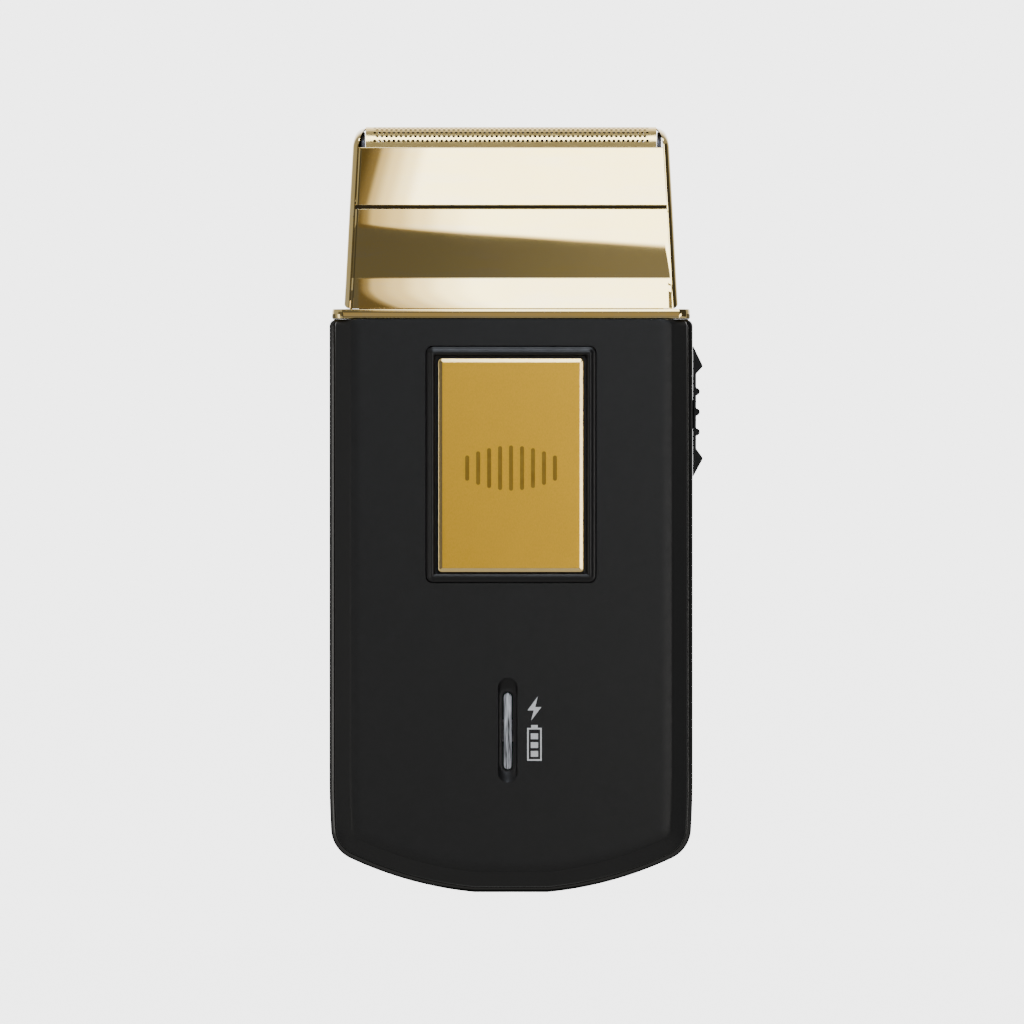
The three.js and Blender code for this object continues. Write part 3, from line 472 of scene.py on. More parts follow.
def make_badge_motif():
    """A plain fan of slim bars, tallest in the middle."""
    front = badge_box[1][0]
    centre_x, centre_z = middle(badge_box[0]), middle(badge_box[2]) - 0.4
    count, pitch = 9, 1.5
    parts = []
    for i in range(count):
        offset = i - (count - 1) / 2
        tall = 3.1 * math.cos(offset / count * 2.2)
        outline = stadium(centre_x + offset * pitch, centre_z, 0.28, tall, 6)
        parts.append(prism(f"bar{i}", outline, (front - 0.03, front + 0.1)))
    return joined("badge_motif", *parts)


# ---------------- charge mark

MARK_X = MID + 3.2
MARK_Z = 18.1, 26.9
BOLT_HEIGHT = 3.3
CELL_HALF_WIDTH = 1.0
CELL_LINE = 0.22


def make_charge_mark():
    """White ink right of the light: a bolt over an upright battery outline with three bars."""
    low, high = MARK_Z
    wide, line = CELL_HALF_WIDTH, CELL_LINE
    bolt_low = high - BOLT_HEIGHT
    bolt = [(0.45, 0), (-0.95, 1.85), (-0.1, 1.85), (-0.45, BOLT_HEIGHT), (0.95, 1.4), (0.1, 1.4)]
    bolt = [(MARK_X - u, bolt_low + v) for u, v in reversed(bolt)]
    cell_top = bolt_low - 1.0
    strips = [((-0.45, 0.45), (cell_top, cell_top + 0.4)), ((-wide, wide), (cell_top - line, cell_top))]
    strips += [((-wide, wide), (low, low + line)), ((-wide, line - wide), (low + line, cell_top - line))]
    strips += [((wide - line, wide), (low + line, cell_top - line))]
    bars, room = 3, cell_top - low - 0.9
    for i in range(bars):
        bottom = low + 0.55 + i * room / bars
        strips.append(((-0.5, 0.5), (bottom, bottom + room / bars - 0.4)))
    outlines = [bolt] + [rectangle((MARK_X + x[0], MARK_X + x[1]), z) for x, z in strips]
    face = cover[1][0]
    parts = [prism("mark", points, (face - 0.012, face + 0.05)) for points in outlines]
    return joined("charge_mark", *parts)


# ---------------- foil head

HEAD_BOTTOM = head_frame[2][0]
PANEL_TOP = head_frame[2][1]
HEAD_TOP = plate_right[2][1]
HEAD_LEAN = 0.052
HEAD_HALF_WIDTH = plate_right[0][1] - MID
CREASE_Z = HEAD_BOTTOM + 4.1
GROOVE_BOTTOM = HEAD_BOTTOM + 13.6
GROOVE_TOP = HEAD_BOTTOM + 14.15
BOTTOM_DEPTH, CREASE_DEPTH, GROOVE_DEPTH, UPPER_DEPTH, TOP_DEPTH = 9.2, 8.5, 7.9, 7.75, 5.6
PLATE_THICKNESS = 0.85


def head_half_width(z):
    """Half the head's width at a height: straight leaning sides."""
    return HEAD_HALF_WIDTH - HEAD_LEAN * (z - HEAD_BOTTOM)


def panel_profile():
    """The (depth, z) section of the front panel, a closed loop with small rounds at its edges."""
    z_foot = collar[2][1] + 0.06
    slope = (CREASE_DEPTH - BOTTOM_DEPTH) / (CREASE_Z - HEAD_BOTTOM)
    foot = (BOTTOM_DEPTH + slope * (z_foot - HEAD_BOTTOM), z_foot)
    crease, groove_foot = (CREASE_DEPTH, CREASE_Z), (GROOVE_DEPTH, GROOVE_BOTTOM)
    lower_root, upper_root = (UPPER_DEPTH - 0.4, GROOVE_BOTTOM), (UPPER_DEPTH - 0.4, GROOVE_TOP)
    groove_head, top = (UPPER_DEPTH, GROOVE_TOP), (TOP_DEPTH, PANEL_TOP)
    outer = [(foot[0] - 0.1, z_foot), (foot[0] - 0.03, z_foot + 0.02)]
    outer += [(foot[0] + 0.08 * slope, z_foot + 0.08)]
    outer += corner_round(foot, crease, groove_foot, 0.06)
    outer += corner_round(crease, groove_foot, lower_root, 0.05)
    outer += [lower_root, upper_root]
    outer += corner_round(upper_root, groove_head, top, 0.05)
    outer += corner_round(groove_head, top, (TOP_DEPTH - 0.6, PANEL_TOP), 0.12)
    inner = [(TOP_DEPTH - 0.7, PANEL_TOP), (TOP_DEPTH - 0.7, PANEL_TOP - 0.6)]
    inner += [(UPPER_DEPTH - 1.25, GROOVE_TOP), (CREASE_DEPTH - 0.9, CREASE_Z), (BOTTOM_DEPTH - 0.9, z_foot)]
    return outer + inner


def corner_round(before, at, after, reach, steps=4):
    """A soft corner: a curve from reach before the corner to reach after it."""
    a = Vector(at) + (Vector(before) - Vector(at)).normalized() * reach
    b = Vector(at) + (Vector(after) - Vector(at)).normalized() * reach
    points = []
    for i in range(steps + 1):
        t = i / steps
        point = a * (1 - t) ** 2 + Vector(at) * 2 * t * (1 - t) + b * t ** 2
        points.append(tuple(point))
    return points


RIM_WIDTH = 0.76
RIM_ROUND = 0.7
PANEL_OVERLAP = 0.02                   # how far a panel's end runs into the plate beside it
PANEL_ROLL = 0.55
PANEL_ROLL_DEPTH = {-1: 0.08, 1: 0.02}  # the left end rolls back further
ROLL_STEPS = [0, 0.08, 0.18, 0.3, 0.45, 0.6, 0.8, 1.0]
WALL_TOP = 95.5
WALL_GAUGE = 0.9


def make_panel(name, side):
    """A folded front or rear panel that rolls back where it meets the end plates."""
    loops = []
    for edge, parts in ((-1, ROLL_STEPS), (1, reversed(ROLL_STEPS))):
        for part in parts:
            roll = PANEL_ROLL_DEPTH[edge] * (1 - part) ** 2
            loop = []
            for depth, z in panel_profile():
                x = head_half_width(z) - RIM_WIDTH + PANEL_OVERLAP - PANEL_ROLL * part
                loop.append((MID + edge * x, side * (depth - roll), z))
            loops.append(loop)
    return loft(name, loops, smooth_angle=40)


def make_head_frame():
    """Front and rear panels and the walls that join them inside the end plates."""
    parts = [make_panel("front_panel", -1), make_panel("rear_panel", 1)]
    for side in (-1, 1):
        loops = []
        for z, reach in ((HEAD_BOTTOM, 8.0), (WALL_TOP, 6.0)):
            outer = side * (head_half_width(z) - PLATE_THICKNESS - 0.2)
            inner = outer - side * WALL_GAUGE
            ends = ((outer, -reach), (inner, -reach), (inner, reach), (outer, reach))
            loops.append([(MID + x, y, z) for x, y in ends])
        parts.append(loft("end_wall", loops))
    return joined("head_frame_skin", *parts)


def end_plate_outline(inset, steps=28):
    """The side view of an end plate as (y, z): the head's depth, closed by a round arch."""
    crease, top = (CREASE_DEPTH + 0.1, CREASE_Z), (TOP_DEPTH + 0.1, PANEL_TOP)
    lower = [(BOTTOM_DEPTH + 0.1, HEAD_BOTTOM), crease]
    lower += corner_round(crease, (UPPER_DEPTH + 0.25, GROOVE_TOP), top, 1.5, 6)
    right = [(y - inset, max(z, HEAD_BOTTOM + inset)) for y, z in lower]
    reach = top[0] - inset
    rise = HEAD_TOP - PANEL_TOP - inset
    arch = [(reach * y, PANEL_TOP + rise * z) for y, z in arc(0, 0, 1, 0.04, math.pi - 0.04, steps)]
    left = [(-y, z) for y, z in reversed(right)]
    return right + arch + left


def shoulder(z):
    """How far the plate's outside curves inward near its top."""
    start, reach, rise = PANEL_TOP - 0.2, 1.2, HEAD_TOP - PANEL_TOP + 0.2
    t = min(max((z - start) / rise, 0), 1)
    return reach * (1 - math.sqrt(1 - t * t))


def make_end_plate(name, side):
    """A gold end plate whose rim rounds over to the outside; it leans with the head."""
    steps = 12
    levels = [(RIM_ROUND + 0.3, 0)]
    for i in range(steps + 1):
        turn = QUARTER * i / steps
        levels.append((RIM_ROUND * (1 - math.sin(turn)), RIM_ROUND * (1 - math.cos(turn))))
    levels += [(0, RIM_WIDTH), (RIM_ROUND, RIM_WIDTH)]
    loops = []
    for inset, depth in levels:
        outline = end_plate_outline(inset)
        loops.append([(MID + side * (head_half_width(z) - depth - shoulder(z)), y, z) for y, z in outline])
    return loft(name, loops)


def make_groove_painted_shade():
    """Strips painted dark as the shade inside the grooves of the front and rear panels."""
    reach = head_half_width(GROOVE_BOTTOM) - RIM_WIDTH - 0.1
    x, z = (MID - reach, MID + reach), (GROOVE_BOTTOM - 0.1, GROOVE_TOP + 0.1)
    parts = []
    for side in (-1, 1):
        y = sorted((side * (UPPER_DEPTH - 0.2), side * (UPPER_DEPTH - 0.6)))
        parts.append(box_object("strip", x, y, z))
    return joined("groove_painted_shade", *parts)


# ---------------- foil

FOIL_RADIUS = half(foil_box[1])
FOIL_CENTRE = foil_box[2][1] - FOIL_RADIUS
FOIL_GAUGE = 0.05
HOLE_PITCH = 0.656
HOLE_RADIUS = 0.225
HOLE_ROW_ANGLE = math.radians(10)
HOLE_ROWS = 12
FOIL_MARGIN = 0.8
CUTTER_SPINE = 1.6                     # half the width of the spine under the blades


def make_foil():
    """The arched foil with staggered rows of round holes and plain margins."""
    x0, x1 = foil_box[0]
    columns = int((x1 - x0 - 2 * FOIL_MARGIN) / HOLE_PITCH)
    start = middle((x0, x1)) - columns * HOLE_PITCH / 2
    first = -HOLE_ROW_ANGLE * HOLE_ROWS / 2
    vertices, faces = [], []

    def on_arch(x, angle):
        vertices.append((x, FOIL_RADIUS * math.sin(angle), FOIL_CENTRE + FOIL_RADIUS * math.cos(angle)))
        return len(vertices) - 1

    def quad_strip(lower, upper):
        faces.extend(zip(lower, lower[1:], upper[1:], upper))

    def plain_band(xs, angles):
        for a0, a1 in zip(angles, angles[1:]):
            quad_strip([on_arch(x, a0) for x in xs], [on_arch(x, a1) for x in xs])

    def punched_cell(left, bottom):
        right, top = left + HOLE_PITCH, bottom + HOLE_ROW_ANGLE
        mid_x, mid_a = (left + right) / 2, (bottom + top) / 2
        rim_places = [(right, mid_a), (right, top), (mid_x, top), (left, top)]
        rim_places += [(left, mid_a), (left, bottom), (mid_x, bottom), (right, bottom)]
        rim = [on_arch(*place) for place in rim_places]
        angle_reach = HOLE_RADIUS / FOIL_RADIUS
        turns = [i * math.pi / 4 for i in range(8)]
        hole = [on_arch(mid_x + HOLE_RADIUS * math.cos(t), mid_a + angle_reach * math.sin(t)) for t in turns]
        for i in range(8):
            j = (i + 1) % 8
            faces.append((rim[i], rim[j], hole[j], hole[i]))

    for row in range(HOLE_ROWS):
        bottom = first + row * HOLE_ROW_ANGLE
        odd = row % 2
        cells = columns - odd
        row_start = start + odd * HOLE_PITCH / 2
        row_end = row_start + cells * HOLE_PITCH
        for column in range(cells):
            punched_cell(row_start + column * HOLE_PITCH, bottom)
        angles = [bottom, bottom + HOLE_ROW_ANGLE / 2, bottom + HOLE_ROW_ANGLE]
        plain_band((x0, row_start), angles)
        plain_band((row_end, x1), angles)
    last = first + HOLE_ROWS * HOLE_ROW_ANGLE
    xs = [x0] + [start + i * HOLE_PITCH / 2 for i in range(2 * columns + 1)] + [x1]
    for edge, step in ((first, -1), (last, 1)):
        angles = [edge + step * i * (QUARTER - last) / 6 for i in range(7)]
        plain_band(xs, angles)
        skirt = [on_arch(x, angles[-1]) for x in xs]
        feet = range(len(vertices), len(vertices) + len(xs))
        vertices.extend((x, step * FOIL_RADIUS, foil_box[2][0]) for x in xs)
        quad_strip(skirt, feet)
    obj = new_object("foil_skin", vertices, faces, 60)
    gauge = obj.modifiers.new("gauge", "SOLIDIFY")
    gauge.thickness = FOIL_GAUGE * MM
    gauge.offset = 1 if foil_faces_inward(obj) else -1
    apply_modifiers(obj)
    shade(obj, 50)
    return obj


def foil_faces_inward(obj):
    top = max(obj.data.polygons, key=lambda p: p.center.z)
    return top.normal.z < 0


def make_cutter():
    """A comb of round blades on a solid core and a spine, dark behind the foil's holes."""
    x, y, z = span("cutter_block")
    radius = half(y)
    blade, pitch, blade_foot = 0.3, 0.95, z[0] + 1.6
    count = round((x[1] - x[0] - blade) / pitch)
    step = (x[1] - x[0] - blade) / count

    def slab(name, reach, start, end):
        points = arc(0, z[1] - radius, reach, -0.1, math.pi + 0.1, 24)
        points += [(-CUTTER_SPINE, blade_foot), (CUTTER_SPINE, blade_foot)]
        return loft(name, [[(a, b, c) for b, c in points] for a in (start, end)])

    parts = [slab("core", radius - 0.25, x[0] + 0.05, x[1] - 0.05)]
    parts.append(box_object("spine", x, (-CUTTER_SPINE, CUTTER_SPINE), (z[0], z[0] + 2)))
    for i in range(count + 1):
        start = x[0] + i * step
        parts.append(slab("blade", radius, start, start + blade))
    return joined("cutter_block_skin", *parts)


SPRING_TURNS = 5
SPRING_WIRE = 0.3


def make_spring(node):
    """A coil of round wire under the cutter, as tall and wide as its CAD node."""
    x, y, z = span(node)
    coil = half(x) - SPRING_WIRE
    steps = SPRING_TURNS * 20
    rise = z[1] - z[0] - 2 * SPRING_WIRE
    wire = arc(0, 0, SPRING_WIRE, 0, 2 * math.pi, 10)[:-1]
    loops = []
    for i in range(steps + 1):
        turn = 2 * math.pi * SPRING_TURNS * i / steps
        height = z[0] + SPRING_WIRE + rise * i / steps
        loop = []
        for across, up in wire:
            reach = coil + across
            place = (middle(x) + reach * math.cos(turn), middle(y) + reach * math.sin(turn), height + up)
            loop.append(place)
        loops.append(loop)
    return loft(f"{node}_skin", loops, smooth_angle=60)


def squash_spring(obj):
    """Gives the spring a mesh of its own."""
    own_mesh(obj)


def make_foil_clip(name):
    """The bright arch that clamps the foil's end."""
    (x0, x1), y, z = span(f"foil_clip_{name}")
    loops = []
    for inset, x in ((0.1, x0), (0, x0 + 0.1), (0, x1 - 0.1), (0.1, x1)):
        reach = half(y) - inset
        points = [(reach, z[0])] + arc(0, FOIL_CENTRE, reach, 0, math.pi, 28) + [(-reach, z[0])]
        loops.append([(x, across, up) for across, up in points])
    return loft(f"foil_clip_{name}_skin", loops)


# ---------------- switch

RIB_HEIGHTS = (63.1, 65.85, 68.65)
RIB_RADIUS = 0.5


def make_button():
    """The slide button: two thumb peaks, three ribs and a stem through the shell's side."""
    base, peak = MID + HALF_WIDTH + 0.1, button_box[0][1]
    face = MID + HALF_WIDTH + 0.5
    bottom, top = button_box[2]
    points = [(base, bottom)]
    points += corner_round((base, bottom), (peak, bottom + 2.5), (face, bottom + 3.8), 0.25)
    points += corner_round((peak, bottom + 2.5), (face, bottom + 3.8), (face, bottom + 5), 0.15)
    for z in RIB_HEIGHTS:
        points += arc(face, z, RIB_RADIUS, -QUARTER, QUARTER, 10)
    points += corner_round((face, top - 5), (face, top - 3.8), (peak, top - 2.8), 0.15)
    points += corner_round((face, top - 3.8), (peak, top - 2.8), (base, top), 0.25)
    points.append((base, top))
    y0, y1 = button_box[1]
    cap = loft("cap", [front_loop(points, y) for y in (y0, y1)])
    stem = box_object("stem", (button_box[0][0], base + 0.2), (-1.2, 1.2), (63.5, 67.5))
    obj = joined("switch_button_skin", cap, stem)
    soften(obj, 0.1)
    return obj


def make_lens():
    """The clear light pipe: a rounded bar whose face shows in the recess."""
    x, z = middle(lens_box[0]), middle(lens_box[2])
    front, back = lens_box[1]
    levels = [(0, back)] + behind(front, [(0, 0.3), (0.06, 0.14), (0.18, 0.04), (0.32, 0)])
    loops = []
    for inset, y in levels:
        loops.append(front_loop(stadium(x, z, half(lens_box[0]) - inset, half(lens_box[2]) - inset), y))
    return loft("light_pipe_skin", loops)


# ---------------- materials

def add_node(tree, kind, inputs, **settings):
    """A node whose inputs are given as values or as the outputs of other nodes."""
    node = tree.nodes.new("ShaderNode" + kind)
    for key, value in settings.items():
        setattr(node, key, value)
    for socket, value in inputs.items():
        if isinstance(value, bpy.types.NodeSocket):
            tree.links.new(value, node.inputs[socket])
        else:
            node.inputs[socket].default_value = value
    return node


class Shading:
    """A new material's node tree, with places in the object's own space."""

    def __init__(self, name):
        self.material = bpy.data.materials.new(name)
        self.material.use_nodes = True
        self.tree = self.material.node_tree
        self.place = self.node("TexCoord", {}).outputs["Object"]

    def node(self, kind, inputs, **settings):
        return add_node(self.tree, kind, inputs, **settings)


class Finish(Shading):
    """A Principled material whose textures are in object space, so grain has its real size."""

    def __init__(self, name, metallic=0.0, specular=0.5):
        super().__init__(name)
        self.shader = self.tree.nodes["Principled BSDF"]
        self.set("Metallic", metallic)
        self.set("Specular IOR Level", specular)

    def set(self, socket, value):
        self.shader.inputs[socket].default_value = value

    def feed(self, socket, output):
        self.tree.links.new(output, self.shader.inputs[socket])

    def warm(self):
        """Reflections a little warmer than the light, as pigment near the surface makes them."""
        self.set("Specular Tint", (1, 0.975, 0.93, 1))
        return self

    def noise(self, grain, stretch=(1, 1, 1), detail=3.0):
        """Noise whose grain is that many millimetres, longer along the stretched axes."""
        scale = [1 / (grain * MM) / s for s in stretch]
        mapping = self.node("Mapping", {"Scale": scale, "Vector": self.place})
        inputs = {"Scale": 1, "Detail": detail, "Vector": mapping.outputs["Vector"]}
        return self.node("TexNoise", inputs).outputs["Fac"]

    def spread(self, fac, low, high):
        """The middle of a noise's range, stretched to run from low to high."""
        inputs = {"From Min": 0.3, "From Max": 0.7, "To Min": low, "To Max": high, "Value": fac}
        return self.node("MapRange", inputs).outputs["Result"]

    def color(self, dark, light, *grain, **detail):
        """Colour that wanders between two shades, with grain as noise() takes it."""
        self.set("Base Color", (*middle((Vector(dark), Vector(light))), 1))
        fac = self.spread(self.noise(*grain, **detail), 0, 1)
        inputs = {"A": (*dark, 1), "B": (*light, 1), "Factor": fac}
        self.feed("Base Color", self.node("Mix", inputs, data_type="RGBA").outputs["Result"])

    def roughness(self, low, high, *grain):
        self.set("Roughness", middle((low, high)))
        self.feed("Roughness", self.spread(self.noise(*grain), low, high))

    def bump(self, height, strength, *grain, detail=2):
        """A relief of that many millimetres."""
        inputs = {"Strength": strength, "Distance": height * MM, "Height": self.noise(*grain, detail=detail)}
        self.feed("Normal", self.node("Bump", inputs).outputs["Normal"])


def shades(color, amount):
    """A darker and a lighter shade of a colour."""
    return tuple(c * (1 - amount) for c in color), tuple(min(c * (1 + amount), 1) for c in color)


def soft_black():
    finish = Finish("soft_black", specular=0.31).warm()
    finish.color((0.0090, 0.0090, 0.0089), (0.0100, 0.0100, 0.0099), 3.0)
    finish.roughness(0.39, 0.45, 1.2)
    finish.bump(0.004, 0.5, 0.09)
    return finish.material


def gloss_black():
    finish = Finish("gloss_black", specular=0.8).warm()
    finish.color((0.0030, 0.0030, 0.0031), (0.0040, 0.0040, 0.0041), 4.0)
    finish.roughness(0.18, 0.26, 0.8)
    finish.bump(0.0008, 0.4, 0.3, detail=1)
    return finish.material


def bezel_black():
    finish = Finish("bezel_black", specular=0.35).warm()
    finish.color((0.0065, 0.0065, 0.0065), (0.0075, 0.0075, 0.0075), 3.0)
    finish.roughness(0.3, 0.38, 0.8)
    return finish.material


def button_black():
    finish = Finish("button_black", specular=0.2).warm()
    finish.color((0.0025, 0.0025, 0.0025), (0.0035, 0.0035, 0.0035), 2.0)
    finish.roughness(0.36, 0.44, 0.5)
    finish.bump(0.003, 0.4, 0.09)
    return finish.material


def mirror_gold():
    """Polished plating under clear lacquer."""
    finish = Finish("mirror_gold", metallic=1)
    finish.color((0.89, 0.63, 0.165), (0.91, 0.65, 0.175), 6.0)
    finish.roughness(0.012, 0.018, 2.0, (6, 1, 1))
    finish.set("Coat Weight", 1.0)
    finish.set("Coat IOR", 1.6)
    finish.set("Coat Roughness", 0.012)
    return finish.material


def satin_gold():
    finish = Finish("satin_gold", metallic=1)
    finish.color((0.72, 0.40, 0.029), (0.82, 0.46, 0.037), 0.12, (1, 1, 2.5))
    finish.roughness(0.36, 0.46, 0.2)
    finish.bump(0.004, 0.4, 0.08, (1, 1, 2))
    return finish.material


def foil_gold():
    finish = Finish("foil_gold", metallic=1)
    finish.color((0.87, 0.63, 0.22), (0.93, 0.69, 0.26), 1.5)
    finish.roughness(0.12, 0.2, 0.3, (4, 1, 1))
    return finish.material


def metal(name, color, roughness):
    finish = Finish(name, metallic=1)
    finish.color(*shades(color, 0.06), 1.5)
    finish.roughness(roughness - 0.05, roughness + 0.07, 0.25, (1, 1, 6))
    finish.bump(0.001, 0.3, 0.1, (1, 1, 6))
    return finish.material


def plastic(name, color, roughness, grain):
    finish = Finish(name, specular=0.4)
    finish.color(*shades(color, 0.08), 2.0)
    finish.roughness(roughness - 0.05, roughness + 0.06, 0.8)
    finish.bump(0.003, 0.4, grain)
    return finish.material


def clear_lens():
    """Clear plastic over the lamp, with painted highlights: streaks from near black to near white that run
    along it.
    """
    finish = Finish("clear_lens")
    finish.set("Transmission Weight", 0.1)
    # Painted highlights and shade: the lengthwise streaks stand for the lines of light that the pipe
    # reflects.
    finish.color((0.015, 0.015, 0.016), (0.88, 0.9, 0.93), 0.22, (1, 1, 14), detail=1.5)
    finish.roughness(0.08, 0.16, 0.6)
    return finish.material


def white_ink():
    finish = Finish("white_ink")
    finish.color((0.68, 0.68, 0.67), (0.82, 0.82, 0.81), 0.15)
    finish.roughness(0.4, 0.5, 0.2)
    return finish.material


# Painted shade: the dark colour of the strips that stand for the shadow in the panels' grooves.
def shadow_gap():
    finish = Finish("shadow_gap", specular=0.1)
    finish.color((0.030, 0.020, 0.006), (0.040, 0.028, 0.008), 0.5)
    finish.set("Roughness", 0.6)
    return finish.material


def polished_gold():
    finish = Finish("polished_gold", metallic=1)
    finish.color((0.90, 0.66, 0.27), (0.94, 0.70, 0.29), 1.0)
    finish.roughness(0.17, 0.23, 0.4)
    return finish.material


def motif_gold():
    finish = Finish("motif_gold", metallic=1)
    finish.color((0.27, 0.16, 0.027), (0.33, 0.20, 0.033), 1.5)
    finish.roughness(0.33, 0.39, 0.6)
    return finish.material


def cutter_steel_painted_shade():
    """Cutter steel painted near black as painted shade under the foil, so that its holes look dark."""
    finish = Finish("cutter_steel_painted_shade", metallic=1)
    finish.color((0.035, 0.025, 0.013), (0.045, 0.033, 0.017), 0.8)
    finish.roughness(0.45, 0.55, 0.4)
    return finish.material


METALS = {
    "steel": ((0.56, 0.57, 0.59), 0.28),
    "dark_steel": ((0.09, 0.09, 0.10), 0.38),
    "copper": ((0.72, 0.36, 0.18), 0.32),
    "bush_brass": ((0.62, 0.46, 0.18), 0.34),
}
# colour, roughness and the size of the surface's grain
PLASTICS = {
    "inner_black": ((0.012, 0.012, 0.013), 0.5, 0.12),
    "white_nylon": ((0.74, 0.73, 0.68), 0.45, 0.12),
    "board_green": ((0.02, 0.13, 0.05), 0.4, 0.5),
    "cell_wrap": ((0.04, 0.2, 0.07), 0.3, 1.0),
    "guard_rubber": ((0.02, 0.02, 0.02), 0.75, 0.08),
    "lead_red": ((0.35, 0.02, 0.02), 0.45, 0.4),
    "lead_black": ((0.01, 0.01, 0.01), 0.45, 0.4),
    "magnet": ((0.06, 0.06, 0.065), 0.7, 0.15),
}
FINISHES = {make.__name__: make() for make in (
    soft_black, gloss_black, mirror_gold, satin_gold, foil_gold, clear_lens)}
FINISHES |= {name: metal(name, *values) for name, values in METALS.items()}
FINISHES |= {name: plastic(name, *values) for name, values in PLASTICS.items()}


def paint(obj, material):
    obj.data.materials.clear()
    obj.data.materials.append(material)


replaced = set()


def finish_piece(obj, body, slot_name, *nodes, material=None):
    """Gives a made piece its finish, the body it rides on and the CAD nodes it stands for."""
    flat_faces_stay_flat(obj)
    paint(obj, material or FINISHES[slot_name])
    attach(obj, body)
    if nodes:
        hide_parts(*nodes)
        replaced.update(nodes)


# ---------------- the pieces

for subpart in frame["record"]["subparts"]:
    paint(frame["nodes"][subpart["node"]], FINISHES[subpart["material_slot"]])

finish_piece(make_rear_shell(), "casing", "gloss_black", "rear_shell")
finish_piece(make_front_cover(), "casing", "soft_black", "front_cover")
finish_piece(make_collar(), "casing", "mirror_gold", "collar_plate")
finish_piece(make_bezel(), "casing", "gloss_black", "badge_bezel", material=bezel_black())
finish_piece(make_badge(), "casing", "satin_gold", "badge_plate")
finish_piece(make_badge_rim(), "casing", "satin_gold", material=polished_gold())
finish_piece(make_badge_motif(), "casing", "satin_gold", material=motif_gold())
finish_piece(make_charge_mark(), "casing", "white_nylon", material=white_ink())
finish_piece(make_lens(), "casing", "clear_lens", "light_pipe")
finish_piece(make_head_frame(), "foil_head", "mirror_gold", "head_frame")
# Painted shade: dark strips that stand for the shadow inside the panels' grooves.
finish_piece(make_groove_painted_shade(), "foil_head", "inner_black", material=shadow_gap())
finish_piece(make_foil(), "foil_head", "foil_gold", "foil_sheet")
# The cutter's steel is painted near black as the shade under the foil.
finish_piece(make_cutter(), "cutter", "dark_steel", "cutter_block", material=cutter_steel_painted_shade())
for side_name, side_sign in (("left", -1), ("right", 1)):
    plate = make_end_plate(f"end_plate_{side_name}_skin", side_sign)
    finish_piece(plate, "foil_head", "mirror_gold", f"head_end_plate_{side_name}")
    clip = make_foil_clip(side_name)
    finish_piece(clip, "foil_head", "steel", f"foil_clip_{side_name}", material=FINISHES["dark_steel"])
    spring_node = f"cutter_spring_{side_name}"
    spring = make_spring(spring_node)
    finish_piece(spring, "yoke", "steel", spring_node)
    squash_spring(spring)
finish_piece(make_button(), "switch", "soft_black", "switch_button", material=button_black())

# The inner pieces keep their CAD shapes, with rounded edges.
for node_name, node in frame["nodes"].items():
    if node_name not in replaced:
        soften(node, 0.08, 2, 35)


# ---------------- stage, light and camera

LENS = 600
SENSOR = 36
FRAME_WIDTH = 140.37                   # what the picture shows across at the plane it is scaled to
SCALE_PLANE = -5
CAMERA_DISTANCE = FRAME_WIDTH * LENS / SENSOR
BACKGROUND = 4.2
EYE = Vector((MID + 0.13, SCALE_PLANE - CAMERA_DISTANCE, 52.12))
CARD_Y = -300


def mirrored(across, part_up, facet):
    """The place on the front cards that the camera sees in a head facet.

    across is a part of the half width and part_up a part of the facet's height."""
    (low_depth, low_z), (high_depth, high_z) = facet
    z = low_z + (high_z - low_z) * part_up
    depth = low_depth + (high_depth - low_depth) * part_up
    point = Vector((MID + across * head_half_width(z), -depth, z))
    normal = Vector((0, -(high_z - low_z), low_depth - high_depth)).normalized()
    ray = (point - EYE).normalized()
    bounce = ray - 2 * ray.dot(normal) * normal
    return point + bounce * ((CARD_Y - point.y) / bounce.y)


LOWER_FACET = ((BOTTOM_DEPTH, HEAD_BOTTOM), (CREASE_DEPTH, CREASE_Z))
MIDDLE_FACET = ((CREASE_DEPTH, CREASE_Z), (GROOVE_DEPTH, GROOVE_BOTTOM))
TOP_FACET = ((UPPER_DEPTH, GROOVE_TOP), (TOP_DEPTH, PANEL_TOP))

# How a softbox dims toward its left and lower edges: part of the way in, part of its strength.
LONG_FALL_OFF = ((0, 0.025), (0.06, 0.07), (0.13, 0.2), (0.33, 0.3), (0.53, 0.5), (0.75, 0.78), (1, 1))
SHORT_FALL_OFF = ((0, 0.02), (0.2, 0.05), (0.3, 0.2), (0.5, 0.38), (0.75, 0.62), (1, 1))
SOFTBOX_STRENGTH = 6.8
DIM_LIGHT = 1, 0.78, 0.4
FULL_LIGHT = 1, 1.1, 1.3


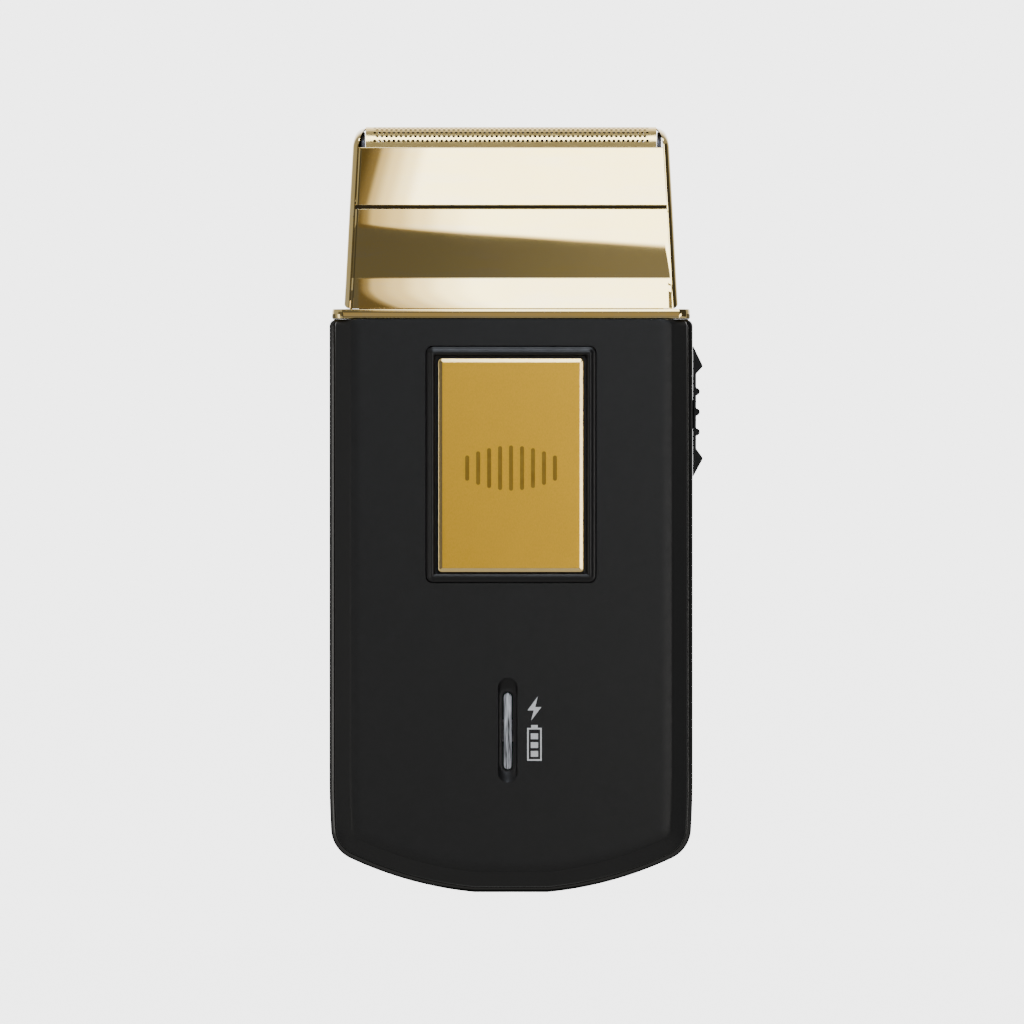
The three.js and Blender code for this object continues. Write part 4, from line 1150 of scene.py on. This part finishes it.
class Emitter(Shading):
    """The material of a card that gives light."""

    def __init__(self, name, color=(1, 1, 1)):
        super().__init__(name)
        self.tree.nodes.remove(self.tree.nodes["Principled BSDF"])
        self.emission = self.node("Emission", {"Color": (*color, 1)})
        surface = self.tree.nodes["Material Output"].inputs["Surface"]
        self.tree.links.new(self.emission.outputs["Emission"], surface)

    def vector(self, operation, *values):
        node = self.node("VectorMath", dict(enumerate(values)), operation=operation)
        return node.outputs["Value" if operation in ("LENGTH", "DOT_PRODUCT") else "Vector"]

    def math(self, operation, *values):
        return self.node("Math", dict(enumerate(values)), operation=operation).outputs["Value"]

    def even(self, strength):
        self.emission.inputs["Strength"].default_value = strength
        return self.material

    def eased(self, low, high, start, end):
        """Strength goes from low to high between two places on the card, evenly to the eye."""
        run = (Vector(end) - Vector(start)) * MM
        shift = self.vector("SUBTRACT", self.place, Vector(start) * MM)
        part = self.vector("DOT_PRODUCT", shift, run / run.length_squared)
        ease = self.node("MapRange", {"Value": part}, interpolation_type="SMOOTHSTEP")
        power = self.math("POWER", high / low, ease.outputs["Result"])
        self.tree.links.new(self.math("MULTIPLY", power, low), self.emission.inputs["Strength"])
        return self.material

    def soft_corner(self, strength, reach, fall_off, lean, sweep):
        """Full strength except near the card's own X = 0 and Z = 0 edges, which fall off over reach.

        The left edge leans to the right by lean per height, and curves to the right below a height
        by a factor times the square of the way down: sweep is (height, factor)."""
        split = self.node("SeparateXYZ", {"Vector": self.place}).outputs
        down = self.math("MAXIMUM", self.math("MULTIPLY_ADD", split["Z"], -1, sweep[0] * MM), 0)
        curve = self.math("MULTIPLY", self.math("POWER", down, 2), sweep[1] / MM)
        slant = self.math("MULTIPLY_ADD", split["Z"], lean, curve)
        shift = self.node("CombineXYZ", {"X": slant}).outputs["Vector"]
        moved = self.vector("SUBTRACT", self.place, shift)
        near = self.vector("MULTIPLY", moved, (1 / (reach[0] * MM), 0, 1 / (reach[1] * MM)))
        shortfall = self.vector("SUBTRACT", self.vector("MINIMUM", near, (1, 0, 1)), (1, 0, 1))
        part = self.math("MULTIPLY_ADD", self.vector("LENGTH", shortfall), -1, 1)
        ramp = self.node("ValToRGB", {"Fac": part})
        ramp.color_ramp.interpolation = "EASE"
        stops = ramp.color_ramp.elements
        peak = max(FULL_LIGHT)
        while len(stops) < len(fall_off):
            stops.new(0.5)
        for stop, (position, value) in zip(stops, fall_off):
            stop.position = position
        for stop, (position, value) in zip(stops, fall_off):
            tint = Vector(DIM_LIGHT).lerp(Vector(FULL_LIGHT), value ** 0.6)
            stop.color = (*(tint * value / peak), 1)
        self.tree.links.new(ramp.outputs["Color"], self.emission.inputs["Color"])
        self.emission.inputs["Strength"].default_value = strength * peak
        return self.material


def card(name, corners, material):
    """A flat card that only reflections and light see."""
    obj = new_object(name, corners, [(0, 1, 2, 3)])
    obj.data.materials.append(material)
    obj.visible_camera = False
    return obj


def upright_card(name, x, z_left, z_right, material, y=CARD_Y):
    """An upright card facing the object; z_left and z_right are (low, high) at its two ends."""
    corners = [(x[0], y, z_left[0]), (x[1], y, z_right[0]), (x[1], y, z_right[1]), (x[0], y, z_left[1])]
    return card(name, corners, material)


def plain_card(name, x, z, strength, color=(1, 1, 1), y=CARD_Y):
    """An upright rectangular card of even strength."""
    return upright_card(name, x, z, z, Emitter(name, color).even(strength), y)


def turned_card(name, start, end, z, strength):
    """An upright card of even strength from one (x, y) place to another."""
    corners = [(*start, z[0]), (*end, z[0]), (*end, z[1]), (*start, z[1])]
    return card(name, corners, Emitter(name).even(strength))


def softbox(name, corner, size, reach, fall_off, tilt=0.0, lean=0.0, sweep=(0, 0)):
    """A softbox that stands on the card plane with its lower left corner at corner."""
    width, height = size
    corners = [(0, 0, 0), (width, 0, 0), (width, 0, height), (0, 0, height)]
    obj = card(name, corners, Emitter(name).soft_corner(SOFTBOX_STRENGTH, reach, fall_off, lean, sweep))
    obj.location = Vector(corner) * MM
    obj.rotation_euler = (0, tilt, 0)
    return obj


def make_camera():
    data = bpy.data.cameras.new("camera")
    data.sensor_width = SENSOR
    data.lens = LENS
    data.clip_start = 0.01
    data.clip_end = 50
    camera = bpy.data.objects.new("camera", data)
    camera.location = EYE * MM
    camera.rotation_euler = (QUARTER, 0, 0)
    bpy.context.collection.objects.link(camera)
    bpy.context.scene.camera = camera


def camera_switch(tree, seen, unseen):
    """One value where the camera looks straight at a thing and another everywhere else."""
    camera_ray = add_node(tree, "LightPath", {}).outputs["Is Camera Ray"]
    inputs = {"Value": camera_ray, "To Min": unseen, "To Max": seen}
    return add_node(tree, "MapRange", inputs).outputs["Result"]


def eased_range(tree, value, start, end, low, high):
    """A value that eases from low to high as another goes from start to end."""
    inputs = {"Value": value, "From Min": start, "From Max": end, "To Min": low, "To Max": high}
    return add_node(tree, "MapRange", inputs, interpolation_type="SMOOTHSTEP").outputs["Result"]


def make_world():
    """Pale grey to the camera. Its light is strong from behind the object and weak elsewhere."""
    world = bpy.data.worlds.new("studio")
    bpy.context.scene.world = world
    world.use_nodes = True
    tree = world.node_tree
    place = add_node(tree, "TexCoord", {}).outputs["Generated"]
    split = add_node(tree, "SeparateXYZ", {"Vector": place}).outputs
    from_behind = eased_range(tree, split["Y"], 0.3, 0.95, 0.5, 3.0)
    from_above = eased_range(tree, split["Z"], 0.3, 0.8, 1.0, 0.8)
    light = add_node(tree, "Math", {0: from_behind, 1: from_above}, operation="MULTIPLY")
    background = tree.nodes["Background"].inputs
    background["Color"].default_value = (1, 1, 1, 1)
    tree.links.new(camera_switch(tree, BACKGROUND, light.outputs["Value"]), background["Strength"])


def make_floor():
    """As pale as the background to the camera, and a soft glow from in front to everything else."""
    size, sink = 9000, -0.05
    corners = [(-size, -size, sink), (size, -size, sink), (size, size, sink), (-size, size, sink)]
    floor = new_object("floor", corners, [(0, 1, 2, 3)])
    finish = Finish("floor", specular=0)
    finish.set("Base Color", (0.1, 0.1, 0.1, 1))
    finish.set("Roughness", 0.9)
    finish.set("Emission Color", (1, 1, 1, 1))
    y = finish.node("SeparateXYZ", {"Vector": finish.place}).outputs["Y"]
    unseen = eased_range(finish.tree, y, (PARTING - 0.35) * MM, (PARTING + 0.1) * MM, 0.42, 0.05)
    finish.feed("Emission Strength", camera_switch(finish.tree, BACKGROUND * 0.97, unseen))
    floor.data.materials.append(finish.material)


WEDGE_LEFT = mirrored(-1, 0.76, MIDDLE_FACET)
WEDGE_SLOPE = mirrored(1, 0.435, MIDDLE_FACET) - WEDGE_LEFT
WEDGE_TILT = -math.atan2(WEDGE_SLOPE.z, WEDGE_SLOPE.x)
BOX_X = mirrored(-0.94, 0.5, MIDDLE_FACET).x, 70
BOX_TOP = 343
NEAR_X = -52                           # where the left flag ends
SIDE_X = 62, 190
SIDE_TOP = 78
CARD_FOOT = -150


def wedge_z(x):
    """The height of the slanting edge between the dim wall and the softboxes."""
    return WEDGE_LEFT.z - math.tan(WEDGE_TILT) * (x - WEDGE_LEFT.x)


def make_softboxes():
    """A dim wall in front under a slanting edge, and three graded softboxes above it."""
    fade = mirrored(-0.21, 0.5, MIDDLE_FACET).x - BOX_X[0]
    lower_foot = mirrored(-1, 0, LOWER_FACET).z
    top_foot = mirrored(-1, 0, TOP_FACET).z
    low = wedge_z(BOX_X[0])
    split_a = (mirrored(-1, 1, MIDDLE_FACET).z + lower_foot) / 2
    split_b = (mirrored(-1, 1, LOWER_FACET).z + top_foot) / 2
    width = BOX_X[1] - BOX_X[0]
    wall_x, wall_foot = (-450, SIDE_X[0]), -60
    wall = Emitter("front_wall").eased(
        0.14, 0.28, (-24, CARD_Y, WEDGE_LEFT.z - 1), (22, CARD_Y, WEDGE_LEFT.z - 14))
    upright_card("front_wall", wall_x, *[(wall_foot, wedge_z(x)) for x in wall_x], wall)
    softbox("low_box", (BOX_X[0], CARD_Y, low), (width, split_a - low), (fade, 0.7),
            LONG_FALL_OFF, WEDGE_TILT)
    softbox("mid_box", (BOX_X[0], CARD_Y - 0.5, split_a), (width, split_b - split_a), (fade, 0.1),
            LONG_FALL_OFF, sweep=(lower_foot + 2.25 - split_a, 0.12))
    lean = 0.2
    high_x = mirrored(-0.995, 0.5, MIDDLE_FACET).x - lean * (top_foot - split_b)
    softbox("high_box", (high_x, CARD_Y, split_b), (width, BOX_TOP - split_b), (10.3, 0.1),
            SHORT_FALL_OFF, lean=lean)


def make_side_cards():
    """Bright and dim cards at the sides, behind the object and low in front of the collar."""
    plain_card("side_card", SIDE_X, (CARD_FOOT, SIDE_TOP), 5)
    turned_card("right_flag", (SIDE_X[1], CARD_Y), (380, -40), (CARD_FOOT, 400), 0.06)
    upright_card("near_left", (NEAR_X, BOX_X[0]), (wedge_z(NEAR_X), BOX_TOP), (wedge_z(BOX_X[0]), BOX_TOP),
                 Emitter("near_left").even(0.15))
    plain_card("left_flag", (-100, NEAR_X), (CARD_FOOT, BOX_TOP), 0.07, y=CARD_Y + 1)
    turned_card("left_strip", (-62, -58), (-79, -38), (-40, 76), 2.4)
    for side in (-1, 1):
        turned_card("back_flag", (MID + side * 27, 22), (MID + side * 160, 60), (-30, BODY_TOP), 0.2)
    plain_card("high_flag", (BOX_X[1], SIDE_X[1]), (SIDE_TOP, 400), 0.06)
    plain_card("collar_card", (-60, 60), (70, 100), 0.42, (1, 0.86, 0.62), CARD_Y + 1)


def make_ceiling():
    height = 420
    corners = [(-60, -110, height), (60, -110, height), (60, 10, height), (-60, 10, height)]
    card("ceiling_box", corners, Emitter("ceiling_box", FULL_LIGHT).even(7))


bpy.context.scene.view_settings.view_transform = "AgX"
make_camera()
make_world()
make_floor()
make_softboxes()
make_side_cards()
make_ceiling()
